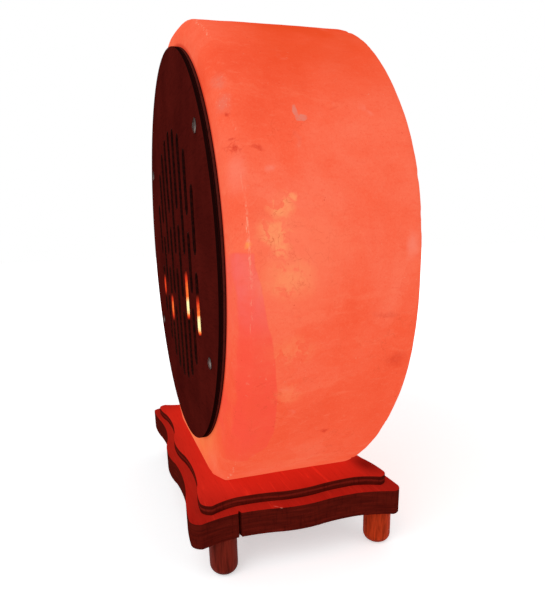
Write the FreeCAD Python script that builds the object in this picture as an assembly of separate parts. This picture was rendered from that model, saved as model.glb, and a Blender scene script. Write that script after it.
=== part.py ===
# Salt crystal lamp.
#
# A short thick drum of rock salt stands on edge on a two-tier wooden base with four peg feet.
# A pierced round plaque of two thin boards covers a recess in the drum's front face. A small
# screw-cap bulb stands inside the drum, in a lampholder that is pushed up through the base and
# gripped there by two sprung arms.
#
# Frame: X along the base's long side, Y from front (plaque, -Y) to back, Z up. The origin is
# the middle of the base, on the surface that the feet stand on. Lengths are in millimetres.

import FreeCAD, Part
import math
import os

from FreeCAD import Vector

# ---------------------------------------------------------------- driving dimensions

# feet
foot_radius = 7.5
foot_length = 22.4
foot_tenon = 9.0
foot_tenon_radius = 5.0
foot_rounding = 5.2
foot_x = 83.0
foot_front_y = -41.6
foot_back_y = 48.4           # the pegs stand nearer to the back edge than to the front one

# base: the upper tier's half sizes, and how far the lower tier stands out beyond it
tier_half_length = 87.6
tier_half_depth = 52.2
tier_step_x = 7.6
tier_step_y = 5.4
lower_tier_turn = -1.0       # degrees that the lower tier stands askew under the upper one
upper_thickness = 5.3
lower_thickness = 13.8

# serpentine outline of both tiers
long_lobe_half = 20.5        # half width of the lobe in the middle of a long side
long_lobe_rise = 2.6         # its height over its own ends
long_hollow_end = 62.0       # where the hollow beside it ends
long_hollow_sag = 1.5        # depth of that hollow under its own ends
corner_start = 6.2           # the corner's rounding starts this far before the end
corner_rounding = 5.2
corner_bow_share = 0.2       # how far the rounding bows out, of its chord
short_crown_inset = 2.0      # crown of the short side's lobe, behind the corners' line
short_bend_inset = 3.4       # where the lobe turns into the hollow beside it
short_bend_y = 13.5
short_hollow_end = 31.0      # where that hollow ends
short_hollow_inset = 4.6
ear_start_y = 33.0           # the corner's ear starts beyond a short straight
ear_sag = 0.7
split_depth = 2.6            # narrow split in the lower tier, in that straight, front right
split_width = 1.8

# drum of salt
drum_radius = 125.0
drum_front_y = -39.0
drum_back_y = 44.0
drum_bevel = 5.0
drum_axis_above_base = 108.0

# plaque
plaque_radius = 106.0
plaque_above_drum_axis = 8.0
plaque_front_thickness = 1.5
plaque_back_thickness = 2.1
slot_width = 8.0
slot_pitch = 15.0
slot_columns_each_side = 4
slot_field_radius = 70.0
slot_bridge = 8.0
plaque_screw_x_upper = 78.0
plaque_screw_x_lower = 81.5
plaque_screw_z_upper = 57.0
plaque_screw_z_lower = -45.0
plaque_screw_head_radius = 3.0
plaque_screw_head_height = 1.0
plaque_screw_radius = 1.75
plaque_screw_length = 24.0
plaque_screw_turn = 35.0     # degrees that each screw's cross stands round from the last one's
plaque_plug_radius = 3.0
plaque_plug_length = 22.0
plaque_screw_play = 0.25
plug_play = 0.05             # between a plug and its screw

# hollows in the salt
recess_radius = 76.0
recess_depth = 40.0
bore_radius = 29.0
bore_top_above_base = 100.0

# hole in the base for the lampholder
lamp_hole_radius = 20.0

# screws that hold the drum to the base
drum_screw_x = 42.0
drum_screw_radius = 2.5
drum_screw_hole_radius = 2.7
drum_screw_length = 42.5
drum_screw_head_radius = 5.0
drum_screw_head_height = 3.0
counterbore_radius = 7.5
counterbore_depth = 5.0
washer_radius = 6.5
washer_thickness = 1.2
drum_plug_radius = 4.0
drum_plug_length = 28.0

# screws that join the two tiers
board_screw_x = 62.0
board_screw_y = 26.0
board_screw_radius = 1.75
board_screw_head_radius = 3.5
board_screw_length = 17.0
board_screw_point = 1.5
board_screw_recess = 1.2

# screw heads and points, as shares of the head's or the shank's own size
cross_arm_share = 0.16       # half width of the cross recess's arm, of its length
cross_length_share = 0.55    # length of that arm, of the head's radius
cross_depth_share = 0.6
dome_edge_share = 0.3        # height of the dome's edge, of the head's height
dome_shoulder_share = 0.84   # its height halfway in
point_length_share = 1.6

# lampholder
holder_bottom = 22.0
holder_radius = 13.5
holder_wall = 1.6
holder_cap_top = 40.0
holder_spigot_length = 7.0
holder_top = 76.0
holder_ledge = 42.0
holder_bore_radius = 10.6
holder_ledge_radius = 9.2
block_top = 50.0
shell_inner_radius = 7.0
shell_wall = 0.5
shell_top = 71.0
grip_bore_radius = 3.1
grip_neck_radius = 4.4
grip_flange_radius = 6.5
grip_bottom = 18.5
grip_top = 26.0
grip_flange_top = 22.0
grip_rim = 1.5
terminal_x = 6.0
terminal_hole_radius = 1.4
terminal_hole_roof = 2.5     # thickness of block left above each terminal hole
terminal_head_radius = 2.3
terminal_head_height = 1.6
terminal_screw_radius = 1.3
terminal_screw_length = 5.0
holder_floor = 2.0
holder_rim = 1.0             # chamfer round the holder's top
inner_fit = 0.1              # between the holder's own parts
contact_half_width = 2.0
contact_raised_half_width = 1.6
contact_strip_half = 5.0
contact_raised_half = 3.0
contact_thickness = 0.4
side_contact_height = 7.0
shell_foot_width = 1.4

# spring clip
band_bottom = 44.5
band_top = 51.0
band_wall = 0.6
band_play = 0.05             # between the band and the holder
cheek_margin = 1.2           # how far a cheek runs beyond the pivot
cheek_half_height = 1.4
pivot_x = 15.8
pivot_z = 47.0
pivot_pin_radius = 0.5
pivot_hole_radius = 0.55
cheek_gap_half = 4.4
cheek_thickness = 0.6
arm_half_width = 4.0
arm_thickness = 0.6
arm_knee_x = 19.4
arm_knee_z = 33.0
arm_tip_x = 17.0
arm_tip_z = 25.0

# bulb: a tubular one with a small screw cap
bulb_bottom = 51.9
contact_radius = 2.4
contact_height = 1.3
contact_rounding = 0.8
insulator_foot_radius = 3.2
cap_lip_radius = 5.6
insulator_top = 56.0
cap_radius = 6.95
cap_wall = 0.4
cap_thread_top = 71.0
cap_flare_start = 71.3       # where the cap's inside starts to flare
cap_top = 76.0
cap_mouth_radius = 8.8
glass_bottom = 75.3
glass_neck_radius = 8.0
glass_neck_top = 77.0
glass_shoulder = 86.0
glass_shoulder_bulge = 0.6   # how far the shoulder's line swells out of straight
glass_shoulder_drop = 0.4
glass_radius = 12.5
glass_top = 137.0
glass_wall = 0.7
stem_top = 96.0
stem_radius = 2.2
stem_foot_radius = 3.0
stem_seat_height = 1.0
stem_foot_height = 6.0
stem_head_height = 4.0
wire_embedding = 3.0         # how far the wires run down into the stem's glass
filament_z = 108.0
filament_half_span = 6.5
filament_wire_radius = 0.35
filament_rise = 2.5
lead_radius = 0.3
lead_foot_x = 0.8
support_radius = 0.2
support_foot_y = 0.9
support_head_x = 2.2
support_hook = 0.1           # how far under the arch's crown the supports end

# ---------------------------------------------------------------- derived places

lower_bottom = foot_length
lower_top = lower_bottom + lower_thickness
base_top = lower_top + upper_thickness
drum_z = base_top + drum_axis_above_base
plaque_z = drum_z + plaque_above_drum_axis
plaque_back_front_y = drum_front_y - plaque_back_thickness
plaque_face_y = plaque_back_front_y - plaque_front_thickness
bore_top = base_top + bore_top_above_base
counterbore_top = lower_bottom + counterbore_depth
tenon_top = lower_bottom + foot_tenon

UP = Vector(0, 0, 1)
BACK = Vector(0, 1, 0)


# ---------------------------------------------------------------- shared shapes

def cylinder(radius, low, high, x=0.0, y=0.0):
    """Upright cylinder between two heights."""
    return Part.makeCylinder(radius, high - low, Vector(x, y, low), UP)


def tube(outer, inner, low, high, x=0.0, y=0.0):
    """Upright tube between two heights."""
    return cylinder(outer, low, high, x, y).cut(cylinder(inner, low - 1, high + 1, x, y))


def level_cylinder(radius, front, back, x, z):
    """Cylinder along Y between two depths."""
    return Part.makeCylinder(radius, back - front, Vector(x, front, z), BACK)


def block(x_low, x_high, y_low, y_high, z_low, z_high):
    """Upright box between two corners."""
    size = (x_high - x_low, y_high - y_low, z_high - z_low)
    return Part.makeBox(size[0], size[1], size[2], Vector(x_low, y_low, z_low))


def turned(profile):
    """Solid turned about Z from a closed list of (radius, height) points."""
    points = [Vector(radius, 0, height) for radius, height in profile]
    face = Part.Face(Part.makePolygon(points + points[:1]))
    return face.revolve(Vector(0, 0, 0), UP, 360)


def line(start, end):
    """Straight edge."""
    return Part.LineSegment(start, end).toShape()


def bowed(start, end, rise):
    """Arc from start to end, level in Z, that bows out by rise to the left of the way it runs."""
    chord = end - start
    left = Vector(-chord.y, chord.x, 0).normalize()
    middle = (start + end) * 0.5 + left * rise
    return Part.Arc(start, middle, end).toShape()


def half_lobe_rise(half_width, rise):
    """How far one half of a lobe, from its crown to its end, bows out from its own chord."""
    radius = (half_width ** 2 + rise ** 2) / (2 * rise)
    half_chord = math.hypot(half_width, rise) / 2
    return radius - math.sqrt(radius ** 2 - half_chord ** 2)


def cross_recess(radius, depth, top):
    """Cross cut down into a screw head from its top."""
    half = radius * cross_arm_share
    arm = block(-radius, radius, -half, half, top - depth, top + 1)
    return arm.fuse(arm.rotated(Vector(0, 0, 0), UP, 90))


def domed_screw(head_radius, head_height, shank_radius, length):
    """Cross-head screw whose domed head sits on Z = 0 with the shank hanging below it."""
    edge = Vector(head_radius, 0, head_height * dome_edge_share)
    shoulder = Vector(head_radius / 2, 0, head_height * dome_shoulder_share)
    crown = Vector(0, 0, head_height)
    outline = [
        line(Vector(0, 0, 0), Vector(head_radius, 0, 0)),
        line(Vector(head_radius, 0, 0), edge),
        Part.Arc(edge, shoulder, crown).toShape(),
        line(crown, Vector(0, 0, 0)),
    ]
    head = Part.Face(Part.Wire(outline)).revolve(Vector(0, 0, 0), UP, 360)
    arm_length = head_radius * cross_length_share
    head = head.cut(cross_recess(arm_length, head_height * cross_depth_share, head_height))
    point = shank_radius * point_length_share
    shank = cylinder(shank_radius, point - length, 0)
    tip = Part.makeCone(0, shank_radius, point, Vector(0, 0, -length), UP)
    return head.fuse([shank, tip]).removeSplitter()


def four_corners(x, y):
    """The four places at plus and minus x and y."""
    return [(side * x, end * y) for side in (-1, 1) for end in (-1, 1)]


# ---------------------------------------------------------------- wooden base

def tier_outline(length, depth):
    """Closed serpentine wire of one tier at Z = 0, from its half sizes.

    A quarter of it runs from the middle of the back's long side, round the corner, to the
    middle of the right-hand short side, and is then mirrored.
    """
    crown = Vector(0, depth, 0)
    lobe_end = Vector(long_lobe_half, depth - long_lobe_rise, 0)
    hollow_end = Vector(long_hollow_end, depth - long_lobe_rise, 0)
    rounding_start = Vector(length - corner_start, depth, 0)
    rounding_end = Vector(length, depth - corner_rounding, 0)
    ear_start = Vector(length - short_hollow_inset, ear_start_y, 0)
    short_hollow = Vector(length - short_hollow_inset, short_hollow_end, 0)
    short_bend = Vector(length - short_bend_inset, short_bend_y, 0)
    short_crown = Vector(length - short_crown_inset, 0, 0)
    lobe_rise = half_lobe_rise(long_lobe_half, long_lobe_rise)
    short_rise = half_lobe_rise(short_bend_y, short_bend_inset - short_crown_inset)
    corner_bow = (rounding_end - rounding_start).Length * corner_bow_share
    quarter = [
        bowed(crown, lobe_end, lobe_rise),
        bowed(lobe_end, hollow_end, -long_hollow_sag),
        bowed(hollow_end, rounding_start, lobe_rise),
        bowed(rounding_start, rounding_end, corner_bow),
        bowed(rounding_end, ear_start, -ear_sag),
        line(ear_start, short_hollow),
        bowed(short_hollow, short_bend, -short_rise),
        bowed(short_bend, short_crown, short_rise),
    ]
    half = quarter + [edge.mirror(Vector(0, 0, 0), Vector(0, 1, 0)) for edge in quarter]
    whole = half + [edge.mirror(Vector(0, 0, 0), Vector(1, 0, 0)) for edge in half]
    return Part.Wire(Part.__sortEdges__(whole))


def tier(length, depth, low, high):
    """One board of the base, from its half sizes."""
    board = Part.Face(tier_outline(length, depth)).extrude(Vector(0, 0, high - low))
    return board.translated(Vector(0, 0, low))


def corner_split(length):
    """Upright wedge that is cut into the lower tier's right end, beside its front corner."""
    mouth = length - short_hollow_inset
    middle = -(short_hollow_end + ear_start_y) / 2
    half = split_width / 2
    points = [
        Vector(mouth + 1, middle - half, lower_bottom - 1),
        Vector(mouth, middle - half, lower_bottom - 1),
        Vector(mouth - split_depth, middle, lower_bottom - 1),
        Vector(mouth, middle + half, lower_bottom - 1),
        Vector(mouth + 1, middle + half, lower_bottom - 1),
    ]
    wedge = Part.Face(Part.makePolygon(points + points[:1]))
    return wedge.extrude(Vector(0, 0, lower_thickness + 2))


def make_upper_board():
    board = tier(tier_half_length, tier_half_depth, lower_top, base_top)
    board = board.cut(cylinder(lamp_hole_radius, lower_top - 1, base_top + 1))
    for side in (-1, 1):
        x = side * drum_screw_x
        board = board.cut(cylinder(drum_screw_hole_radius, lower_top - 1, base_top + 1, x))
    screw_end = lower_bottom + board_screw_length
    for x, y in four_corners(board_screw_x, board_screw_y):
        board = board.cut(cylinder(board_screw_radius, lower_top - 1, screw_end, x, y))
    return board


def make_lower_board():
    length = tier_half_length + tier_step_x
    depth = tier_half_depth + tier_step_y
    board = tier(length, depth, lower_bottom, lower_top).cut(corner_split(length))
    board = board.rotated(Vector(0, 0, 0), UP, lower_tier_turn)
    board = board.cut(cylinder(lamp_hole_radius, lower_bottom - 1, lower_top + 1))
    for side in (-1, 1):
        x = side * drum_screw_x
        board = board.cut(cylinder(drum_screw_hole_radius, lower_bottom - 1, lower_top + 1, x))
        board = board.cut(cylinder(counterbore_radius, lower_bottom - 1, counterbore_top, x))
    for x in (-foot_x, foot_x):
        for y in (foot_front_y, foot_back_y):
            board = board.cut(cylinder(foot_tenon_radius, lower_bottom - 1, tenon_top, x, y))
    for x, y in four_corners(board_screw_x, board_screw_y):
        board = board.cut(cylinder(board_screw_radius, lower_bottom - 1, lower_top + 1, x, y))
        sink = board_screw_sink().translated(Vector(x, y, lower_bottom))
        board = board.cut(sink)
    return board


def make_foot(x, y):
    """Round peg with a well rounded lower end and a thinner tenon up into the lower board."""
    peg = cylinder(foot_radius, 0, lower_bottom)
    rim = [edge for edge in peg.Edges if edge.BoundBox.ZMax < 0.01]
    peg = peg.makeFillet(foot_rounding, rim)
    peg = peg.fuse(cylinder(foot_tenon_radius, lower_bottom, tenon_top))
    return peg.removeSplitter().translated(Vector(x, y, 0))


def board_screw_sink():
    """Cone of a countersunk head, its wide end down at Z = 0."""
    height = board_screw_head_radius - board_screw_radius
    return Part.makeCone(board_screw_head_radius, board_screw_radius, height)


def make_board_screws():
    """Four countersunk screws from below, as separate solids of one piece."""
    shank_top = board_screw_length - board_screw_point
    shank = cylinder(board_screw_radius, 0, shank_top)
    tip = Part.makeCone(board_screw_radius, 0, board_screw_point, Vector(0, 0, shank_top), UP)
    screw = board_screw_sink().fuse([shank, tip]).removeSplitter()
    recess = cross_recess(board_screw_head_radius * cross_length_share, board_screw_recess, 0)
    screw = screw.cut(recess.mirror(Vector(0, 0, 0), UP))
    places = four_corners(board_screw_x, board_screw_y)
    return Part.makeCompound([screw.translated(Vector(x, y, lower_bottom)) for x, y in places])


# ---------------------------------------------------------------- drum of salt

def plaque_screw_places():
    """(x, z) of the four plaque screws; the lower pair sits a little further out."""
    upper = plaque_z + plaque_screw_z_upper
    lower = plaque_z + plaque_screw_z_lower
    places = [(side * plaque_screw_x_upper, upper) for side in (-1, 1)]
    return places + [(side * plaque_screw_x_lower, lower) for side in (-1, 1)]


def make_salt_block():
    """Bevelled drum with a flat foot, a bore up from it and a round recess in its front."""
    inner = drum_radius - drum_bevel
    profile = [
        Vector(0, drum_front_y, 0),
        Vector(inner, drum_front_y, 0),
        Vector(drum_radius, drum_front_y + drum_bevel, 0),
        Vector(drum_radius, drum_back_y - drum_bevel, 0),
        Vector(inner, drum_back_y, 0),
        Vector(0, drum_back_y, 0),
    ]
    drum = Part.Face(Part.makePolygon(profile + profile[:1]))
    drum = drum.revolve(Vector(0, 0, 0), BACK, 360).translated(Vector(0, 0, drum_z))
    below = block(-drum_radius, drum_radius, drum_front_y - 1, drum_back_y + 1, 0, base_top)
    drum = drum.cut(below)
    bore = cylinder(bore_radius, base_top - 1, bore_top)
    dome = Part.makeSphere(bore_radius, Vector(0, 0, bore_top))
    recess_back = drum_front_y + recess_depth
    recess = level_cylinder(recess_radius, drum_front_y - 1, recess_back, 0, plaque_z)
    drum = drum.cut(bore.fuse([dome, recess]))
    for side in (-1, 1):
        x = side * drum_screw_x
        hole = cylinder(drum_plug_radius, base_top - 1, base_top + drum_plug_length, x)
        drum = drum.cut(hole)
    plug_end = drum_front_y + plaque_plug_length
    for x, z in plaque_screw_places():
        hole = level_cylinder(plaque_plug_radius, drum_front_y - 1, plug_end, x, z)
        drum = drum.cut(hole)
    return drum


def make_drum_plugs():
    """Two plastic wall plugs in the foot of the drum."""
    top = base_top + drum_plug_length
    inner = drum_screw_radius + plug_play
    places = (-drum_screw_x, drum_screw_x)
    return Part.makeCompound([tube(drum_plug_radius, inner, base_top, top, x) for x in places])


def make_drum_washers():
    """Two washers at the top of the counterbores."""
    low = counterbore_top - washer_thickness
    inner = drum_screw_hole_radius
    places = (-drum_screw_x, drum_screw_x)
    return Part.makeCompound([tube(washer_radius, inner, low, counterbore_top, x) for x in places])


def make_drum_screws():
    """Two long screws that point up through both tiers into the drum's plugs."""
    screw = domed_screw(
        drum_screw_head_radius, drum_screw_head_height, drum_screw_radius, drum_screw_length
    )
    screw = screw.rotated(Vector(0, 0, 0), Vector(1, 0, 0), 180)
    seat = counterbore_top - washer_thickness
    screws = [screw.translated(Vector(side * drum_screw_x, 0, seat)) for side in (-1, 1)]
    return Part.makeCompound(screws)


# ---------------------------------------------------------------- plaque

def slot(x, low, high, front, back):
    """Upright opening with round ends, cut along Y."""
    half = slot_width / 2
    straight = block(x - half, x + half, front, back, low + half, high - half)
    ends = [level_cylinder(half, front, back, x, z) for z in (low + half, high - half)]
    return straight.fuse(ends).removeSplitter()


def pierced_pattern(front, back):
    """Columns of round-ended slots in a round field, two and three to a column in turn."""
    slots = []
    for column in range(-slot_columns_each_side, slot_columns_each_side + 1):
        x = column * slot_pitch
        half_height = math.sqrt(slot_field_radius ** 2 - x ** 2)
        count = 2 + abs(column) % 2
        length = (2 * half_height - (count - 1) * slot_bridge) / count
        for row in range(count):
            low = plaque_z - half_height + row * (length + slot_bridge)
            slots.append(slot(x, low, low + length, front, back))
    return slots


def plaque_board(front, back):
    """Round board with the pierced pattern and the four screw holes."""
    board = level_cylinder(plaque_radius, front, back, 0, plaque_z)
    board = board.cut(Part.makeCompound(pierced_pattern(front - 1, back + 1)))
    for x, z in plaque_screw_places():
        hole = level_cylinder(plaque_screw_radius + plaque_screw_play, front - 1, back + 1, x, z)
        board = board.cut(hole)
    return board


def make_plaque_front():
    return plaque_board(plaque_face_y, plaque_back_front_y)


def make_plaque_back():
    return plaque_board(plaque_back_front_y, drum_front_y)


def make_plaque_screws():
    """Four cross-head screws that point back through the plaque."""
    screw = domed_screw(
        plaque_screw_head_radius, plaque_screw_head_height, plaque_screw_radius, plaque_screw_length
    )
    screw = screw.rotated(Vector(0, 0, 0), Vector(1, 0, 0), 90)
    screws = []
    for index, (x, z) in enumerate(plaque_screw_places()):
        turned_screw = screw.rotated(Vector(0, 0, 0), BACK, plaque_screw_turn * (index + 0.6))
        screws.append(turned_screw.translated(Vector(x, plaque_face_y, z)))
    return Part.makeCompound(screws)


def make_plaque_plugs():
    """Four wall plugs in the drum's front face."""
    end = drum_front_y + plaque_plug_length
    inner = plaque_screw_radius + plug_play
    plugs = []
    for x, z in plaque_screw_places():
        plug = level_cylinder(plaque_plug_radius, drum_front_y, end, x, z)
        plugs.append(plug.cut(level_cylinder(inner, drum_front_y - 1, end + 1, x, z)))
    return Part.makeCompound(plugs)


# ---------------------------------------------------------------- lampholder

def make_holder_cap():
    """Lower cup of the lampholder, with the cord outlet's hole in its floor."""
    cup = cylinder(holder_radius, holder_bottom, holder_cap_top)
    floor = holder_bottom + holder_floor
    inside = cylinder(holder_radius - holder_wall, floor, holder_cap_top + 1)
    return cup.cut(inside).cut(cylinder(grip_neck_radius, holder_bottom - 1, floor + 1))


def make_holder_body():
    """Upper shell: a spigot inside the cup, a ledge for the ceramic block, and a bored sleeve."""
    spigot_radius = holder_radius - holder_wall - inner_fit
    return turned([
        (holder_ledge_radius, holder_cap_top - holder_spigot_length),
        (spigot_radius, holder_cap_top - holder_spigot_length),
        (spigot_radius, holder_cap_top),
        (holder_radius, holder_cap_top),
        (holder_radius, holder_top - holder_rim),
        (holder_radius - holder_rim, holder_top),
        (holder_bore_radius, holder_top),
        (holder_bore_radius, holder_ledge),
        (holder_ledge_radius, holder_ledge),
    ])


def make_cord_grip():
    """Flanged bush that lines the cord outlet."""
    return turned([
        (grip_bore_radius, grip_bottom),
        (grip_flange_radius - grip_rim, grip_bottom),
        (grip_flange_radius, grip_bottom + grip_rim),
        (grip_flange_radius, grip_flange_top),
        (grip_neck_radius, grip_flange_top),
        (grip_neck_radius, grip_top),
        (grip_bore_radius, grip_top),
    ])


def make_terminal_block():
    """Ceramic disc on the ledge, with a hole for each terminal screw."""
    disc = cylinder(holder_bore_radius - inner_fit, holder_ledge, block_top)
    hole_top = block_top - terminal_hole_roof
    for x in (-terminal_x, terminal_x):
        disc = disc.cut(cylinder(terminal_hole_radius, holder_ledge - 1, hole_top, x))
    return disc


def make_screw_shell():
    """Sleeve that the bulb's cap screws into, with a foot that turns out over the block."""
    outer = shell_inner_radius + shell_wall
    sleeve = tube(outer, shell_inner_radius, block_top, shell_top)
    foot_ring = tube(outer + shell_foot_width, outer - inner_fit, block_top, block_top + shell_wall)
    return sleeve.fuse(foot_ring).removeSplitter()


def make_centre_contact():
    """Sprung strip across the block's top, under the bulb's tip."""
    long = contact_strip_half
    short = contact_raised_half
    wide = contact_half_width
    narrow = contact_raised_half_width
    strip_top = block_top + contact_thickness
    strip = block(-long, long, -wide, wide, block_top, strip_top)
    raised = block(-short, short, -narrow, narrow, strip_top, bulb_bottom - inner_fit)
    return strip.fuse(raised).removeSplitter()


def make_side_contact():
    """Tab that stands on the block against the sleeve."""
    inner = shell_inner_radius + shell_wall + shell_foot_width + inner_fit
    outer = holder_bore_radius - contact_thickness
    wide = contact_half_width
    foot_top = block_top + contact_thickness
    foot = block(inner, outer, -wide, wide, block_top, foot_top)
    post_end = inner + contact_thickness
    post = block(inner, post_end, -wide, wide, foot_top, block_top + side_contact_height)
    return foot.fuse(post).removeSplitter()


def make_terminal_screws():
    """Two small screws under the block that clamp the wires."""
    screw = domed_screw(
        terminal_head_radius, terminal_head_height, terminal_screw_radius, terminal_screw_length
    )
    screw = screw.rotated(Vector(0, 0, 0), Vector(1, 0, 0), 180)
    places = [Vector(side * terminal_x, 0, holder_ledge) for side in (-1, 1)]
    return Part.makeCompound([screw.translated(place) for place in places])


# ---------------------------------------------------------------- spring clip

def make_clip_band():
    """Band round the lampholder with a pair of pierced cheeks for each arm's pivot."""
    inner = holder_radius + band_play
    band = tube(inner + band_wall, inner, band_bottom, band_top)
    cheek_end = cheek_gap_half + cheek_thickness
    for side in (-1, 1):
        for cheek_side in (-1, 1):
            near, far = sorted((side * (inner - cheek_margin), side * (pivot_x + cheek_margin)))
            left, right = sorted((cheek_side * cheek_gap_half, cheek_side * cheek_end))
            low = pivot_z - cheek_half_height
            high = pivot_z + cheek_half_height
            band = band.fuse(block(near, far, left, right, low, high))
    band = band.cut(cylinder(inner, band_bottom - 1, band_top + 1))
    for x in (-pivot_x, pivot_x):
        hole = level_cylinder(pivot_hole_radius, -cheek_end - 1, cheek_end + 1, x, pivot_z)
        band = band.cut(hole)
    return band.removeSplitter()


def make_clip_arm(side):
    """Sprung arm: pivot pin, a leaf that slopes out to its knee, and a tip that turns back in."""
    pin_end = cheek_gap_half + cheek_thickness
    pin = level_cylinder(pivot_pin_radius, -pin_end, pin_end, pivot_x, pivot_z)
    pivot = Vector(pivot_x, -arm_half_width, pivot_z)
    knee = Vector(arm_knee_x, -arm_half_width, arm_knee_z)
    tip = Vector(arm_tip_x, -arm_half_width, arm_tip_z)
    inward = Vector(-arm_thickness, 0, 0)
    outline = [pivot, knee, tip, tip + inward, knee + inward, pivot + inward]
    leaf = Part.Face(Part.makePolygon(outline + outline[:1]))
    leaf = leaf.extrude(Vector(0, 2 * arm_half_width, 0))
    arm = leaf.fuse(pin)
    if side < 0:
        arm = arm.rotated(Vector(0, 0, 0), UP, 180)
    return arm


# ---------------------------------------------------------------- bulb

def make_bulb_contact():
    """Solder pip at the bulb's very bottom."""
    pip = cylinder(contact_radius, bulb_bottom, bulb_bottom + contact_height)
    rim = [edge for edge in pip.Edges if edge.BoundBox.ZMax < bulb_bottom + 0.01]
    return pip.makeFillet(contact_rounding, rim)


def make_bulb_insulator():
    """Dark glass cone between the pip and the screw cap."""
    low = bulb_bottom + contact_height
    edge = cap_radius - cap_wall
    return turned([(0, low), (insulator_foot_radius, low), (edge, insulator_top), (0, insulator_top)])


def make_bulb_cap():
    """Thin metal screw cap, turned in under the insulator's edge and flared at the glass."""
    inner = cap_radius - cap_wall
    return turned([
        (cap_lip_radius, insulator_top),
        (cap_radius, insulator_top),
        (cap_radius, cap_thread_top),
        (cap_mouth_radius, cap_top),
        (cap_mouth_radius - cap_wall, cap_top),
        (inner, cap_flare_start),
        (inner, insulator_top + cap_wall),
        (cap_lip_radius, insulator_top + cap_wall),
    ])


def glass_outline(inset):
    """Edges of the envelope's outer or inner line, from its open neck to the top of its dome."""
    radius = glass_radius - inset
    neck = Vector(glass_neck_radius - inset, 0, glass_bottom)
    neck_top = Vector(glass_neck_radius - inset, 0, glass_neck_top)
    shoulder = Vector(radius, 0, glass_shoulder)
    swell = Vector(glass_shoulder_bulge, 0, -glass_shoulder_drop)
    shoulder_middle = (neck_top + shoulder) * 0.5 + swell
    dome_start = Vector(radius, 0, glass_top - glass_radius)
    crown = Vector(0, 0, glass_top - inset)
    dome_slant = math.sqrt(0.5)
    dome_middle = dome_start + Vector(radius * (dome_slant - 1), 0, radius * dome_slant)
    edges = [
        line(neck, neck_top),
        Part.Arc(neck_top, shoulder_middle, shoulder).toShape(),
        line(shoulder, dome_start),
        Part.Arc(dome_start, dome_middle, crown).toShape(),
    ]
    return edges, neck, crown


def make_bulb_glass():
    """Tubular envelope, open at its neck."""
    outer, outer_neck, outer_crown = glass_outline(0.0)
    inner, inner_neck, inner_crown = glass_outline(glass_wall)
    edges = outer + inner + [line(outer_neck, inner_neck), line(outer_crown, inner_crown)]
    face = Part.Face(Part.Wire(Part.__sortEdges__(edges)))
    return face.revolve(Vector(0, 0, 0), UP, 360)


def make_bulb_stem():
    """Glass foot that closes the neck and carries the wires."""
    seat = glass_neck_radius - glass_wall - inner_fit
    return turned([
        (0, glass_bottom),
        (seat, glass_bottom),
        (seat, glass_bottom + stem_seat_height),
        (stem_foot_radius, glass_bottom + stem_foot_height),
        (stem_radius, stem_top - stem_head_height),
        (stem_radius, stem_top),
        (0, stem_top),
    ])


def make_bulb_leads():
    """Two wires from the stem up to the ends of the filament."""
    leads = []
    for side in (-1, 1):
        foot = Vector(side * lead_foot_x, 0, stem_top - wire_embedding)
        head = Vector(side * filament_half_span, 0, filament_z + filament_wire_radius)
        leads.append(Part.makeCylinder(lead_radius, (head - foot).Length, foot, head - foot))
    return Part.makeCompound(leads)


def make_filament_supports():
    """Two fine wires that hold the filament up along its run."""
    supports = []
    for side in (-1, 1):
        foot = Vector(0, side * support_foot_y, stem_top - wire_embedding)
        head = Vector(side * support_head_x, 0, filament_z + filament_rise - support_hook)
        supports.append(Part.makeCylinder(support_radius, (head - foot).Length, foot, head - foot))
    return Part.makeCompound(supports)


def make_bulb_filament():
    """Low arch of coiled wire between the leads."""
    height = filament_z + filament_wire_radius
    start = Vector(-filament_half_span, 0, height)
    crown = Vector(0, 0, height + filament_rise)
    end = Vector(filament_half_span, 0, height)
    arch = Part.Arc(start, crown, end)
    path = Part.Wire(arch.toShape())
    ring = Part.Circle(start, arch.tangent(arch.FirstParameter)[0], filament_wire_radius)
    return path.makePipeShell([Part.Wire(ring.toShape())], True, False)


# ---------------------------------------------------------------- parts

parts = {
    "salt_block": make_salt_block(),
    "plaque_front": make_plaque_front(),
    "plaque_back": make_plaque_back(),
    "plaque_screws": make_plaque_screws(),
    "plaque_plugs": make_plaque_plugs(),
    "base_upper_board": make_upper_board(),
    "base_lower_board": make_lower_board(),
    "foot_front_left": make_foot(-foot_x, foot_front_y),
    "foot_front_right": make_foot(foot_x, foot_front_y),
    "foot_back_left": make_foot(-foot_x, foot_back_y),
    "foot_back_right": make_foot(foot_x, foot_back_y),
    "board_screws": make_board_screws(),
    "drum_screws": make_drum_screws(),
    "drum_washers": make_drum_washers(),
    "drum_plugs": make_drum_plugs(),
    "holder_body": make_holder_body(),
    "holder_cap": make_holder_cap(),
    "cord_grip": make_cord_grip(),
    "terminal_block": make_terminal_block(),
    "screw_shell": make_screw_shell(),
    "centre_contact": make_centre_contact(),
    "side_contact": make_side_contact(),
    "terminal_screws": make_terminal_screws(),
    "clip_band": make_clip_band(),
    "clip_arm_right": make_clip_arm(1),
    "clip_arm_left": make_clip_arm(-1),
    "bulb_contact": make_bulb_contact(),
    "bulb_insulator": make_bulb_insulator(),
    "bulb_cap": make_bulb_cap(),
    "bulb_glass": make_bulb_glass(),
    "bulb_stem": make_bulb_stem(),
    "bulb_leads": make_bulb_leads(),
    "filament_supports": make_filament_supports(),
    "bulb_filament": make_bulb_filament(),
}

os.makedirs("parts", exist_ok=True)
for name, shape in parts.items():
    shape.exportStep(f"parts/{name}.step")
    box = shape.BoundBox
    print(f"{name:18s} valid {shape.isValid()} solids {len(shape.Solids)} volume {shape.Volume:.1f}"
          f" X {box.XMin:.1f}..{box.XMax:.1f} Y {box.YMin:.1f}..{box.YMax:.1f}"
          f" Z {box.ZMin:.1f}..{box.ZMax:.1f}")
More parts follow.
